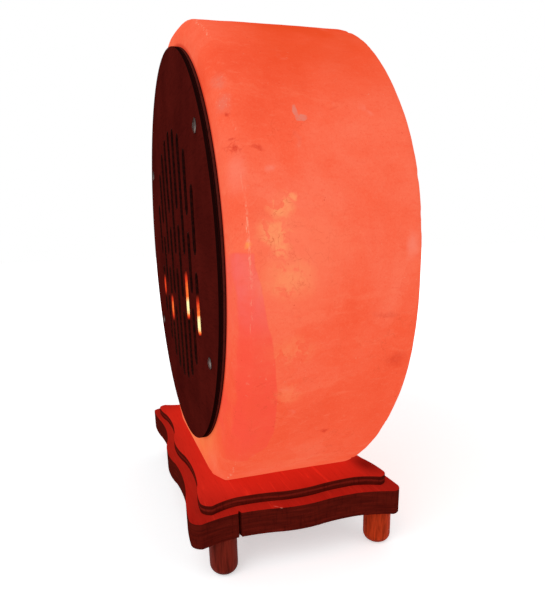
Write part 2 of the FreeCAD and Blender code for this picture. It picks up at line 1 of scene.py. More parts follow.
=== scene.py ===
"""Finished looks of a salt crystal lamp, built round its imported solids.

Every length below is in metres, in the frame of the solids: X along the base's long side, Y from
the plaque in front (-Y) to the back, Z up from the surface that the pegs stand on. Materials read
the place on the piece in millimetres.
"""

import math

import bmesh
import bpy
import numpy as np
from mathutils import Matrix, Vector


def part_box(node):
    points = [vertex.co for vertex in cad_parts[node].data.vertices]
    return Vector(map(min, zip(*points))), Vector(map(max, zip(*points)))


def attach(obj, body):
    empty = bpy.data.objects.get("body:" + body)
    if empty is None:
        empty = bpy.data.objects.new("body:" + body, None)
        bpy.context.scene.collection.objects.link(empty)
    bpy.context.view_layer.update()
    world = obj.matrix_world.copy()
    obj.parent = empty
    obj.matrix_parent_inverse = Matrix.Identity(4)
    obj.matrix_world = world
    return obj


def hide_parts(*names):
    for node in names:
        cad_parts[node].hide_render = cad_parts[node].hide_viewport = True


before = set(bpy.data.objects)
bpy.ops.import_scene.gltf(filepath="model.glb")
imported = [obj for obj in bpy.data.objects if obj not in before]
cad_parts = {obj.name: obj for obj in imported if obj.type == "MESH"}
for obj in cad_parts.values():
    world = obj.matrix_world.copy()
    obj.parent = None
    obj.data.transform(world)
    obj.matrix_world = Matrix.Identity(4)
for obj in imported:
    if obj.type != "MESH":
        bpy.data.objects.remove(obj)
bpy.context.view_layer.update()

bl_info = {
    "name": "Salt Crystal Lamp",
    "version": (1, 0, 0),
    "blender": (4, 5, 0),
    "location": "3D View > Sidebar > Salt Lamp",
    "description": "Dresses the solids of a salt crystal lamp in their finished surfaces",
    "category": "Object",
}

MM = 0.001
SALT_LOW, SALT_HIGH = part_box("salt_block")
DRUM_RADIUS = (SALT_HIGH.x - SALT_LOW.x) / 2
DRUM_Z = SALT_HIGH.z - DRUM_RADIUS
PLAQUE_LOW, PLAQUE_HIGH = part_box("plaque_front")
PLAQUE_RADIUS = (PLAQUE_HIGH.x - PLAQUE_LOW.x) / 2
PLAQUE_Z = (PLAQUE_HIGH.z + PLAQUE_LOW.z) / 2
BULB_LOW, BULB_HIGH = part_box("bulb_glass")
FILAMENT_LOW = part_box("bulb_filament")[0]
BULB_Z = (BULB_LOW.z + BULB_HIGH.z) / 2


def linear(red, green, blue):
    """Linear light of a colour that is given as it shows on a screen, 0 to 255."""
    shown = np.array((red, green, blue)) / 255
    return tuple(np.where(shown <= 0.04045, shown / 12.92, ((shown + 0.055) / 1.055) ** 2.4))


# ------------------------------------------------------------------ what a user would change

def length_setting(name, description, default, least, most):
    """Property that holds a length, given here in millimetres."""
    return bpy.props.FloatProperty(
        name=name, description=description, default=default * MM, min=least * MM, max=most * MM,
        unit="LENGTH")


def factor_setting(name, description, default, most):
    """Property that holds a plain factor from 0 up."""
    return bpy.props.FloatProperty(
        name=name, description=description, default=default, min=0, max=most, subtype="FACTOR")


def colour_setting(name, description, *screen_colour):
    """Property that holds a colour, given here as it shows on a screen, 0 to 255."""
    return bpy.props.FloatVectorProperty(
        name=name, description=description, default=linear(*screen_colour), subtype="COLOR")


class SaltSettings(bpy.types.PropertyGroup):
    """Sizes and colours of the drum of salt."""

    bevel: length_setting("Bevel", "Width of the drum's rim bevels", 5, 1, 12)
    edge_softness: length_setting("Edge softness", "How far each rim edge is rubbed round", 1.4, 0.2, 4)
    waviness: length_setting("Waviness", "Depth of the slow dips left by grinding", 0.35, 0, 2)
    chips: bpy.props.IntProperty(
        name="Chips", description="Number of small chips along the rims", default=70, min=0, max=300)
    recess_radius: length_setting("Recess radius", "Radius of the recess behind the plaque", 76, 10, 100)
    recess_depth: length_setting("Recess depth", "Depth of the recess behind the plaque", 40, 5, 70)
    bore_radius: length_setting("Bore radius", "Radius of the bore that takes the bulb", 29, 15, 40)
    bore_height: length_setting("Bore height", "Height of the bore's straight part", 100, 20, 150)
    glow: factor_setting("Glow", "Share of the salt's colour that is its own light", 0.81, 2)
    body: colour_setting("Body", "Colour of most of the salt", 251, 99, 67)
    deep: colour_setting("Deep", "Colour of its denser parts", 243, 84, 52)
    pale: colour_setting("Pale", "Colour of its clearer parts", 253, 116, 86)
    lit: colour_setting("Lit", "Colour where the lamp shows through best", 254, 150, 100)


class PlaqueSettings(bpy.types.PropertyGroup):
    """Sizes and colours of the pierced plaque."""

    edge: length_setting("Edge", "Rounding of the boards' edges", 0.22, 0, 0.6)
    stain: colour_setting("Stain", "Colour of the stained faces", 88, 22, 17)
    char: colour_setting("Char", "Colour of the burnt cut edges", 22, 9, 8)
    light_catch: factor_setting(
        "Light catch", "Brightness of the lamplight on the openings' walls", 1.2, 4)


class BaseSettings(bpy.types.PropertyGroup):
    """Sizes and colours of the wooden base and its pegs."""

    edge: length_setting("Edge", "Rounding of the boards' edges", 0.7, 0, 2)
    top: colour_setting("Top", "Colour of the boards' faces", 158, 30, 22)
    side: colour_setting("Side", "Colour of the boards' cut sides", 96, 24, 16)
    peg: colour_setting("Peg", "Colour of three of the pegs", 120, 36, 24)
    # the back right peg is painted lighter, as it shows lit
    painted_lit_peg: colour_setting("Pale peg", "Colour of the back right peg", 200, 62, 26)
    spill: factor_setting("Spill", "Lamplight that the boards' faces give back", 0.55, 3)
    tenon_radius: length_setting("Tenon radius", "Radius of a peg's end inside the board", 5, 2, 7)
    peg_rounding: length_setting("Peg rounding", "Rounding of a peg's lower end", 5.2, 1, 7)


class BulbSettings(bpy.types.PropertyGroup):
    """Light and threads of the bulb."""

    light: factor_setting("Light", "Strength of the bulb's glass as a lamp", 3.0, 20)
    warmth: colour_setting("Warmth", "Colour of the bulb's light", 255, 205, 140)
    thread_pitch: length_setting("Thread pitch", "Rise of the cap's thread in one turn", 2.82, 1, 5)
    coil_turns: bpy.props.IntProperty(
        name="Coil turns", description="Turns of the filament's fine coil", default=46, min=8, max=120)


class StageSettings(bpy.types.PropertyGroup):
    """Floor, lights and camera."""

    floor_tone: colour_setting("Floor", "Colour of the floor", 242, 247, 248)
    floor_lift: factor_setting(
        "Floor lift", "Plain white that the camera sees over the floor's shading", 0.49, 1)
    sky: factor_setting("Sky", "Light from all round", 0.5, 2)
    key_power: bpy.props.FloatProperty(
        name="Key lamp", description="Power of the large soft lamp", default=5.2, min=0, max=100,
        unit="POWER")
    lens: bpy.props.FloatProperty(
        name="Lens", description="Focal length in mm, on a 36 mm sensor", default=30.07, min=10,
        max=200)


# ------------------------------------------------------------------ surfaces

def uneven(points, seed, waves, longest, shortest):
    """Smooth uneven value at each point, about -1 to 1.

    It is the sum over the waves of sin(2 pi d.p / w + q), over the root of their number, with
    directions d on a ball, lengths w between shortest and longest, and phases q, all drawn from
    the one seed.
    """
    drawn = np.random.default_rng(seed)
    heading = drawn.normal(size=(waves, 3))
    heading /= np.linalg.norm(heading, axis=1, keepdims=True)
    length = shortest * (longest / shortest) ** drawn.random(waves)
    phase = drawn.random(waves) * 2 * np.pi
    angle = points @ (heading / length[:, None]).T * 2 * np.pi + phase
    return np.sin(angle).sum(1) / math.sqrt(waves)


def grid_faces(rows, columns, closed_rows=False):
    """Four-sided faces of a grid of points numbered row by row, whose columns run round.

    Each row closes on itself; closed_rows also joins the last row to the first.
    """
    last = rows if closed_rows else rows - 1
    row, column = np.meshgrid(np.arange(last), np.arange(columns), indexing="ij")
    below = (row + 1) % rows
    beside = (column + 1) % columns
    corners = (row * columns + column, row * columns + beside,
               below * columns + beside, below * columns + column)
    return np.stack(corners, axis=-1).reshape(-1, 4)


def turned_surface(profile, segments, radial=None):
    """Points and faces of a closed profile of (radius, height) turned about Z.

    A point is (r cos a, r sin a, h) for each profile point and angle a. radial, if given, is a
    function of the arrays (r, a, h) that returns r anew, for threads and flutes. A profile point
    on the axis becomes one point that closes the surface.
    """
    profile = np.asarray(profile, float)
    on_axis = profile[:, 0] < 1e-9
    angle = np.arange(segments) * 2 * np.pi / segments
    rings = profile[~on_axis]
    radius, turn = np.meshgrid(rings[:, 0], angle, indexing="ij")
    height = np.broadcast_to(rings[:, 1][:, None], radius.shape)
    if radial is not None:
        radius = radial(radius, turn, height)
    points = np.stack([radius * np.cos(turn), radius * np.sin(turn), height], -1).reshape(-1, 3)
    faces = grid_faces(len(rings), segments, closed_rows=not on_axis.any()).tolist()
    around = np.arange(segments)
    beside = (around + 1) % segments
    for pole in np.flatnonzero(on_axis):
        tip = np.full(segments, len(points))
        points = np.vstack([points, (0, 0, profile[pole, 1])])
        last = (len(rings) - 1) * segments
        fan = (beside, around, tip) if pole == 0 else (last + around, last + beside, tip)
        faces += np.stack(fan, 1).tolist()
    return points, faces


def rounded_profile(corners, softness, steps=5):
    """Open profile through the corners, each inner corner replaced by a curve of degree two.

    The curve runs from softness before the corner to softness after it, as
    (1-t)^2 a + 2 t (1-t) c + t^2 b.
    """
    corners = np.asarray(corners, float)
    parts = [corners[:1]]
    share = np.linspace(0, 1, steps)[:, None]
    for before, corner, after in zip(corners, corners[1:], corners[2:]):
        reach_in = min(softness, np.linalg.norm(corner - before) * 0.45)
        reach_out = min(softness, np.linalg.norm(after - corner) * 0.45)
        start = corner + (before - corner) / np.linalg.norm(before - corner) * reach_in
        end = corner + (after - corner) / np.linalg.norm(after - corner) * reach_out
        parts.append((1 - share) ** 2 * start + 2 * share * (1 - share) * corner + share ** 2 * end)
    return np.vstack(parts + [corners[-1:]])


def divided(profile, longest):
    """The profile with points added on its long runs, so that none is longer than longest."""
    parts = []
    for start, end in zip(profile, profile[1:]):
        pieces = max(1, int(np.ceil(np.linalg.norm(end - start) / longest)))
        parts.append(start + (end - start) * np.arange(pieces)[:, None] / pieces)
    return np.vstack(parts + [profile[-1:]])


def tube_along(path, radius, sides=8):
    """Points and faces of a round tube with closed ends along a path of points.

    A point is p + radius (cos a u + sin a v), with u and v square to the path's direction.
    """
    path = np.asarray(path, float)
    along = np.gradient(path, axis=0)
    along /= np.linalg.norm(along, axis=1, keepdims=True)
    helper = np.where(np.abs(along[:, 2:]) < 0.9, (0.0, 0.0, 1.0), (1.0, 0.0, 0.0))
    across = np.cross(along, helper)
    across /= np.linalg.norm(across, axis=1, keepdims=True)
    upward = np.cross(across, along)
    angle = np.arange(sides) * 2 * np.pi / sides
    ring = (np.cos(angle)[None, :, None] * across[:, None]
            + np.sin(angle)[None, :, None] * upward[:, None])
    points = (path[:, None] + radius * ring).reshape(-1, 3)
    faces = grid_faces(len(path), sides).tolist()
    faces.append(list(range(sides)))
    faces.append(list(range(len(points) - 1, len(points) - sides - 1, -1)))
    return points, faces


# ------------------------------------------------------------------ pieces

def new_piece(name, points, faces):
    """Object at the origin made of these points and faces."""
    mesh = bpy.data.meshes.new(name)
    mesh.from_pydata(np.asarray(points, float).tolist(), [], faces)
    mesh.update()
    piece = bpy.data.objects.new(name, mesh)
    bpy.context.scene.collection.objects.link(piece)
    return piece


def settle(piece, body, stands_for):
    """Rides the piece on its body and hides the solid that it stands for."""
    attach(piece, body)
    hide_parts(stands_for)


def outward(mesh):
    """Turns every face of a closed mesh outwards."""
    work = bmesh.new()
    work.from_mesh(mesh)
    bmesh.ops.recalc_face_normals(work, faces=work.faces)
    work.to_mesh(mesh)
    work.free()


def baked(piece):
    """Puts the shape that the piece's modifiers give into its own mesh."""
    graph = bpy.context.evaluated_depsgraph_get()
    mesh = bpy.data.meshes.new_from_object(piece.evaluated_get(graph), depsgraph=graph)
    piece.modifiers.clear()
    old = piece.data
    piece.data = mesh
    mesh.name = old.name
    bpy.data.meshes.remove(old)
    return mesh


def finished(piece, sharp=35, flat_faces=False):
    """Bakes the piece and shades it smooth up to the given angle.

    With flat_faces, wide flat faces keep their own direction right up to their rounded edges.
    """
    mesh = baked(piece)
    mesh.shade_smooth()
    mesh.set_sharp_from_angle(angle=math.radians(sharp))
    if flat_faces:
        lean = piece.modifiers.new("lean", "WEIGHTED_NORMAL")
        lean.keep_sharp = True
        lean.weight = 100
        baked(piece)
    return piece


def merged_mesh(node):
    """Copy of a solid's loose triangles, joined up, with its flat faces made whole."""
    work = bmesh.new()
    work.from_mesh(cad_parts[node].data)
    bmesh.ops.remove_doubles(work, verts=work.verts, dist=2e-6)
    bmesh.ops.dissolve_degenerate(work, edges=work.edges, dist=1e-6)
    bmesh.ops.dissolve_limit(
        work, angle_limit=math.radians(0.4), verts=work.verts, edges=work.edges,
        use_dissolve_boundaries=False, delimit={"NORMAL"})
    mesh = bpy.data.meshes.new(node)
    work.to_mesh(mesh)
    work.free()
    mesh.materials.clear()
    return mesh


def closed_piece(name, surface, body, stands_for, sharp):
    """Piece made of a closed surface's points and faces, in place of a solid."""
    piece = new_piece(name, *surface)
    outward(piece.data)
    finished(piece, sharp)
    settle(piece, body, stands_for)
    return piece


def softened_copy(node, name, body, width, segments=2, sharp=35):
    """Piece with a solid's own shape and its edges rounded, in place of that solid."""
    piece = bpy.data.objects.new(name, merged_mesh(node))
    bpy.context.scene.collection.objects.link(piece)
    if width > 0:
        bevel = piece.modifiers.new("edges", "BEVEL")
        bevel.width = width
        bevel.segments = segments
        bevel.limit_method = "ANGLE"
        bevel.angle_limit = math.radians(32)
        bevel.use_clamp_overlap = True
    finished(piece, sharp, flat_faces=width > 0)
    settle(piece, body, node)
    return piece


def wear(piece, *finishes):
    """Gives the piece these materials in place of its own."""
    piece.data.materials.clear()
    for finish in finishes:
        piece.data.materials.append(finish)


def face_places(mesh):
    """Middle and direction of every face, as two arrays."""
    centres = np.empty(len(mesh.polygons) * 3)
    normals = np.empty(len(mesh.polygons) * 3)
    mesh.polygons.foreach_get("center", centres)
    mesh.polygons.foreach_get("normal", normals)
    return centres.reshape(-1, 3), normals.reshape(-1, 3)


def share_out(mesh, numbers):
    """Sets each face's material by its number in the list."""
    mesh.polygons.foreach_set("material_index", np.asarray(numbers, dtype=np.int32))
    mesh.update()


# ------------------------------------------------------------------ materials

BLACK = (0.0, 0.0, 0.0)
LATTICE_TURN = (33, 41, 27)   # degrees; keeps an uneven pattern's lattice off the drum's flat faces


class Finish:
    """One material: a single shader fed by patterns that are measured in millimetres."""

    def __init__(self, name, roughness=0.5, metallic=0.0, specular=0.5):
        self.material = bpy.data.materials.new(name)
        self.material.use_nodes = True
        self.tree = self.material.node_tree
        self.tree.nodes.clear()
        self.shader = self.tree.nodes.new("ShaderNodeBsdfPrincipled")
        surface = self.tree.nodes.new("ShaderNodeOutputMaterial")
        self.tree.links.new(self.shader.outputs["BSDF"], surface.inputs["Surface"])
        self.shader.inputs["Roughness"].default_value = roughness
        self.shader.inputs["Metallic"].default_value = metallic
        self.shader.inputs["Specular IOR Level"].default_value = specular
        spot = self.tree.nodes.new("ShaderNodeTexCoord")
        self.place = self.mapped(spot.outputs["Object"], scale=(1000, 1000, 1000))

    def feed(self, socket, value):
        """Links a value's socket, or sets the number or colour."""
        if isinstance(value, bpy.types.NodeSocket):
            self.tree.links.new(value, socket)
        elif hasattr(value, "__len__") and len(value) == 3 and len(socket.default_value) == 4:
            socket.default_value = (*value, 1.0)
        else:
            socket.default_value = value

    def set(self, **inputs):
        """Feeds the shader's inputs, written with underscores for spaces."""
        for name, value in inputs.items():
            self.feed(self.shader.inputs[name.replace("_", " ")], value)
        return self.material

    def mapped(self, vector, scale=(1, 1, 1), turn=(0, 0, 0), shift=(0, 0, 0)):
        """The vector scaled, then turned in degrees, then shifted."""
        node = self.tree.nodes.new("ShaderNodeMapping")
        self.feed(node.inputs["Vector"], vector)
        node.inputs["Scale"].default_value = scale
        node.inputs["Rotation"].default_value = [math.radians(angle) for angle in turn]
        node.inputs["Location"].default_value = shift
        return node.outputs["Vector"]

    def math(self, operation, *values):
        """One step of arithmetic."""
        node = self.tree.nodes.new("ShaderNodeMath")
        node.operation = operation
        for socket, value in zip(node.inputs, values):
            self.feed(socket, value)
        return node.outputs["Value"]

    def vector(self, operation, *values, out="Vector"):
        """One step of arithmetic on vectors."""
        node = self.tree.nodes.new("ShaderNodeVectorMath")
        node.operation = operation
        for socket, value in zip(node.inputs, values):
            self.feed(socket, value)
        return node.outputs[out]

    def split(self, vector):
        """The vector's three numbers."""
        node = self.tree.nodes.new("ShaderNodeSeparateXYZ")
        self.feed(node.inputs[0], vector)
        return tuple(node.outputs)

    def noise(self, scale, detail=3.0, rough=0.5, distort=0.0, at=None, out="Fac"):
        """Uneven value from 0 to 1, with features about 1/scale millimetres wide."""
        node = self.tree.nodes.new("ShaderNodeTexNoise")
        self.feed(node.inputs["Vector"], self.place if at is None else at)
        node.inputs["Scale"].default_value = scale
        node.inputs["Detail"].default_value = detail
        node.inputs["Roughness"].default_value = rough
        node.inputs["Distortion"].default_value = distort
        return node.outputs[out]

    def cells(self, scale, feature="F1", at=None, out="Distance"):
        """Pattern of cells about 1/scale millimetres wide."""
        node = self.tree.nodes.new("ShaderNodeTexVoronoi")
        node.feature = feature
        self.feed(node.inputs["Vector"], self.place if at is None else at)
        node.inputs["Scale"].default_value = scale
        return node.outputs[out]

    def warped(self, scale, amount, at=None):
        """The place, pushed about by uneven amounts up to half of amount millimetres."""
        push = self.vector("SUBTRACT", self.noise(scale, 3.0, at=at, out="Color"), (0.5, 0.5, 0.5))
        grown = self.vector("MULTIPLY", push, (amount,) * 3)
        return self.vector("ADD", self.place if at is None else at, grown)

    def band(self, value, low, high, to_low=0.0, to_high=1.0):
        """Smooth step of the value from to_low at low to to_high at high."""
        node = self.tree.nodes.new("ShaderNodeMapRange")
        node.interpolation_type = "SMOOTHSTEP"
        for name, number in zip(("Value", "From Min", "From Max", "To Min", "To Max"),
                                (value, low, high, to_low, to_high)):
            self.feed(node.inputs[name], number)
        return node.outputs["Result"]

    def patch(self, middle, size, soft=0.6, at=None):
        """Blob that is 1 in its middle and 0 outside an ellipsoid of these half sizes."""
        away = self.vector("SUBTRACT", self.place if at is None else at, middle)
        far = self.vector("LENGTH", self.vector("DIVIDE", away, size), out="Value")
        return self.band(far, 1.0 - soft, 1.0, 1.0, 0.0)

    def any(self, *masks):
        """The greatest of the masks."""
        most = masks[0]
        for mask in masks[1:]:
            most = self.math("MAXIMUM", most, mask)
        return most

    def times(self, *values):
        """The values times each other."""
        product = values[0]
        for value in values[1:]:
            product = self.math("MULTIPLY", product, value)
        return product

    def plus(self, first, second):
        """The sum of two values."""
        return self.math("ADD", first, second)

    def minus(self, first, second):
        """The first value less the second."""
        return self.math("SUBTRACT", first, second)

    def near(self, value, goal, outer, inner):
        """1 where the value is within inner of the goal, fading to 0 at outer."""
        return self.band(self.math("ABSOLUTE", self.minus(value, goal)), outer, inner)

    def drifting(self, value, noise, amount):
        """The value, pushed up and down by an uneven one, by up to half of the amount."""
        return self.plus(value, self.times(self.minus(noise, 0.5), amount))

    def distance(self, point, at=None):
        """How many millimetres the place is away from a point."""
        return self.vector("DISTANCE", self.place if at is None else at, point, out="Value")

    def blots(self, at, *spots):
        """The greatest of several patches, each (middle, half sizes, softness, strength)."""
        return self.any(*[self.times(self.patch(middle, size, soft, at), strength)
                          for middle, size, soft, strength in spots])

    def painted(self, colour, *coats):
        """The colour with each (mask, strength, colour as on a screen) laid over it in turn."""
        for mask, strength, tint in coats:
            colour = self.mix(self.times(mask, strength), colour, linear(*tint))
        return colour

    def mix(self, share, first, second, way="MIX"):
        """First colour at share 0, second at share 1."""
        node = self.tree.nodes.new("ShaderNodeMix")
        node.data_type = "RGBA"
        node.blend_type = way
        self.feed(node.inputs[0], share)
        self.feed(node.inputs[6], first)
        self.feed(node.inputs[7], second)
        return node.outputs[2]

    def ramp(self, value, *stops):
        """Colour read from (place, colour) stops."""
        node = self.tree.nodes.new("ShaderNodeValToRGB")
        band = node.color_ramp
        while len(band.elements) < len(stops):
            band.elements.new(0.5)
        for element, (place, colour) in zip(band.elements, stops):
            element.position = place
            element.color = (*colour, 1.0)
        self.feed(node.inputs["Fac"], value)
        return node.outputs["Color"]

    def bump(self, height, distance, strength=1.0, over=None):
        """Normal of a relief whose height of 1 stands distance millimetres high."""
        node = self.tree.nodes.new("ShaderNodeBump")
        node.inputs["Strength"].default_value = strength
        node.inputs["Distance"].default_value = distance * MM
        self.feed(node.inputs["Height"], height)
        if over is not None:
            self.feed(node.inputs["Normal"], over)
        return node.outputs["Normal"]


def salt_ground(f, salt, warp):
    """Coral ground colour: soft mottling, plates that lie flat, drifting streaks and fine grain, with
    painted shade over the top.
    """
    y, z = f.split(f.place)[1:]
    mottle = f.noise(0.016, 6, 0.6, 0.4, at=f.mapped(f.place, turn=LATTICE_TURN))
    colour = f.ramp(mottle, (0.30, tuple(salt.deep)), (0.47, tuple(salt.body)), (0.66, tuple(salt.pale)))
    plates = f.split(f.cells(0.019, at=warp, out="Color"))[0]
    streaks = f.noise(0.03, 6, 0.62, 0.8, at=f.mapped(warp, scale=(1, 0.55, 3.2), turn=(14, 0, 0)))
    flecks = f.noise(0.34, 5, 0.7, at=f.mapped(f.place, scale=(1, 0.6, 1.5), turn=(8, 0, 0)))
    crystals = f.noise(1.3, 4, 0.75, at=f.mapped(f.place, turn=(20, 50, 10)))
    # painted shade: deeper red over the top, where the salt is thickest above the bulb and lets less of
    # its light through
    painted_top_shade = f.times(f.band(z, 206, 266), f.band(y, -34, 0), f.band(f.noise(0.03, 4), 0.3, 0.6, 0.6, 1.0))
    return f.painted(
        colour,
        (f.band(plates, 0.0, 1.0), 0.3, (247, 86, 52)),
        (f.band(streaks, 0.53, 0.74), 0.3, (247, 84, 50)),
        (f.band(streaks, 0.46, 0.30), 0.35, (255, 122, 88)),
        (f.band(flecks, 0.52, 0.72), 0.28, (244, 82, 52)),
        (f.band(flecks, 0.46, 0.30), 0.28, (255, 124, 92)),
        (f.band(crystals, 0.52, 0.66), 0.3, (238, 78, 50)),
        (f.band(crystals, 0.46, 0.32), 0.22, (255, 132, 100)),
        (painted_top_shade, 0.8, (231, 70, 26)))


def pink_rim_band(f, colour):
    """Pink band along the right front rim, whose sharp back edge wanders towards the foot."""
    x = f.split(f.place)[0]
    y, z = f.split(f.warped(0.06, 3.5))[1:]
    # how far back the band reaches, from -42 mm (black) to -18 mm (white), going down the rim
    down = f.math("DIVIDE", f.minus(164.0, z), 100.0)
    shade = [(0.0, 0.38), (0.15, 0.49), (0.27, 0.58), (0.39, 0.70), (0.53, 0.78),
             (0.68, 0.89), (0.80, 0.92), (0.90, 0.85), (0.97, 0.55)]
    reach = f.split(f.ramp(down, *[(place, (tone,) * 3) for place, tone in shade]))[0]
    past = f.minus(y, f.plus(-42.0, f.times(reach, 24.0)))
    layer = f.times(f.band(past, 0.35, -0.35), f.band(y, -39.4, -38.0, 0.2, 1.0),
                    f.band(x, 40, 60), f.band(z, 64, 66), f.band(z, 163.2, 161.8))
    patchy = f.band(f.noise(0.09, 4, 0.6), 0.3, 0.62, 0.72, 1.0)
    upper = f.times(layer, f.band(z, 124, 152), f.band(f.noise(0.12, 4, 0.6), 0.3, 0.62, 0.45, 1.0))
    # the same band shows again, thinner and broken, on the other flank and over the back
    bed = f.noise(0.014, 3, 0.5, 0.5, at=f.mapped(f.place, scale=(1, 2.4, 0.7), shift=(9, 3, 0)))
    again = f.times(f.band(bed, 0.60, 0.615), f.band(bed, 0.70, 0.66), f.band(x, 30, -10))
    return f.painted(
        colour,
        (f.times(layer, patchy), f.band(z, 62, 84, 0.35, 0.8), (250, 82, 64)),
        (upper, 0.8, (247, 110, 102)),
        (again, 0.55, (249, 92, 78)))


def clear_windows(f, near_warp, warp):
    """Mask of the clearer flakes that the light comes through: blots with crisp broken edges."""
    beside_bulb = f.blots(
        near_warp,
        ((121.5, -21, 179), (12, 7, 7), 0.7, 1.0),
        ((123, -24, 169.5), (12, 9, 6), 0.7, 1.0),
        ((124, -22, 164.5), (12, 5, 6), 0.8, 1.0),
        ((125, -19, 152), (12, 15, 11), 0.9, 0.75),
        ((120.7, -15.2, 182.3), (6, 2.4, 1.7), 0.6, 1.0),
        ((121, -17, 124), (12, 15, 9), 0.95, 0.4),
        ((115, -17, 104), (12, 10, 8), 0.95, 0.35))
    strewn = f.noise(0.017, 3, at=f.mapped(warp, turn=(15, 62, 38)))
    elsewhere = f.times(f.band(strewn, 0.53, 0.66), f.band(f.split(f.place)[0], 30, 0), 0.7)
    flake = f.band(f.noise(0.13, 6, 0.62, 0.6, at=near_warp), 0.43, 0.475, 0.12, 1.0)
    crumb = f.band(f.noise(0.5, 4, 0.7), 0.3, 0.62, 0.6, 1.0)
    return f.times(f.any(beside_bulb, elsewhere), flake, crumb)


def cloudy_spots(f, near_warp):
    """Mask of the pale milky spots."""
    spots = f.blots(
        near_warp,
        ((122, 35, 163), (9, 5, 8), 0.9, 1.0),
        ((117, -37, 192), (8, 7, 12), 0.9, 0.7),
        ((117, -23.5, 193.6), (5, 2.8, 2.2), 0.9, 0.8))
    broken = f.band(f.noise(0.3, 3), 0.4, 0.6, 0.3, 1.0)
    return f.any(spots, f.times(f.band(f.noise(0.05, 3), 0.66, 0.76), broken))


def bruises(f, near_warp):
    """Mask of the soft grey bruises high on the rim."""
    return f.blots(
        near_warp,
        ((104, -37.3, 218), (8, 5, 7), 0.95, 1.0),
        ((98, -37, 227), (8, 5, 6), 0.95, 1.0),
        ((113, -10, 203), (6, 1.8, 6), 0.95, 0.3))


def grey_marks(f, bruise, ragged):
    """Mask of the bruises and of one sharp angled mark above them."""
    mark = f.blots(
        ragged,
        ((106.6, -8.8, 214.2), (5, 1.3, 3.6), 0.4, 1.0),
        ((108.4, -6.7, 211.7), (5, 2.8, 1.5), 0.4, 1.0))
    smear = f.band(f.noise(0.4, 4, 0.7), 0.3, 0.6, 0.55, 1.0)
    return f.times(f.any(mark, f.times(bruise, 0.6)), smear)


def rust_stains(f, near_warp, ragged):
    """Mask of the rust-red stains: one branched, some sharp, some blurred, and thin veins."""
    thread = f.band(f.cells(0.28, "DISTANCE_TO_EDGE", at=f.warped(0.3, 6)), 0.0, 0.09, 1.0, 0.0)
    branched = f.times(f.patch((113.4, -36, 201.5), (8, 6, 5), 0.9, near_warp), thread, 0.6)
    sharp = f.blots(
        ragged,
        ((107.8, -36.0, 212.8), (5, 1.7, 1.0), 0.9, 1.0),
        ((112.9, -36.0, 203.4), (5, 2.4, 0.9), 0.9, 1.0),
        ((114.3, -35.4, 200.2), (5, 1.4, 2.4), 0.8, 1.0))
    blurred = f.blots(
        near_warp,
        ((114.4, -27, 199.9), (6, 4.5, 0.9), 0.95, 0.6),
        ((124, 23, 136), (6, 9, 2.2), 0.95, 0.3),
        ((120, 32, 115), (7, 8, 5), 0.95, 0.35),
        ((104, 6, 80), (6, 4, 1.2), 0.9, 0.6))
    veins = f.noise(0.05, 6, 0.7, 1.2, at=f.mapped(f.place, scale=(1, 1, 2.6)))
    stain = f.any(branched, sharp, blurred, f.times(f.band(veins, 0.64, 0.78), 0.6))
    return f.times(stain, f.band(f.noise(0.9, 4, 0.7), 0.36, 0.58, 0.5, 1.0))


def hair_cracks(f, windows, haze):
    """(lines, mask) of the hair cracks; the mask shows them most in the clear windows."""
    lines = f.band(f.cells(0.13, "DISTANCE_TO_EDGE", at=f.warped(0.14, 16)), 0.0, 0.03, 1.0, 0.0)
    broken = f.band(f.noise(0.11, 4, 0.6), 0.44, 0.54)
    patches = f.band(f.noise(0.021, 3, 0.5, at=f.mapped(f.place, turn=(50, 12, 33))), 0.56, 0.64)
    shown = f.any(windows, f.times(f.any(haze, patches), 0.5))
    return lines, f.times(lines, broken, f.plus(f.times(shown, 0.5), 0.06))


def scuffs(f, bruise):
    """Mask of the pale scuffs: both rims rubbed in broken lines, drag marks and worn bruises."""
    y = f.split(f.place)[1]
    dashes = f.band(f.noise(0.45, 4, 0.7, at=f.mapped(f.place, scale=(1, 2.4, 0.45))), 0.53, 0.66)
    somewhere = f.band(f.noise(0.022, 3, 0.5, at=f.mapped(f.place, shift=(0, 0, 11))), 0.46, 0.58)
    beside_bulb = f.patch((123, -34, 166), (16, 12, 20), 0.4)
    worn = f.noise(0.8, 4, 0.75, at=f.mapped(f.place, scale=(1, 1, 0.6)))
    drag = f.noise(0.5, 5, 0.7, at=f.mapped(f.warped(0.05, 8), scale=(0.25, 1, 1.6), turn=(0, 24, 0)))
    return f.any(
        f.times(f.near(y, -34.1, 1.0, 0.3), dashes, f.any(somewhere, beside_bulb)),
        f.times(f.near(y, -34.0, 0.5, 0.15), beside_bulb, f.band(worn, 0.44, 0.62, 0.0, 0.8)),
        f.times(f.band(drag, 0.64, 0.72), f.band(f.noise(0.03, 3), 0.52, 0.62), 0.6),
        f.times(f.near(y, 39.4, 1.4, 0.4), dashes, somewhere),
        f.times(bruise, f.band(f.noise(0.7, 4, 0.7), 0.56, 0.66)))


def plaque_shade(f):
    """Mask of the painted shade on the salt's front face close round the plaque's rim."""
    flattened = f.vector("MULTIPLY", f.place, (1, 0, 1))
    away = f.distance((0, 0, PLAQUE_Z / MM), at=flattened)
    return f.times(f.band(away, 107.8, 106.3), f.band(f.split(f.place)[1], -38.3, -38.8))


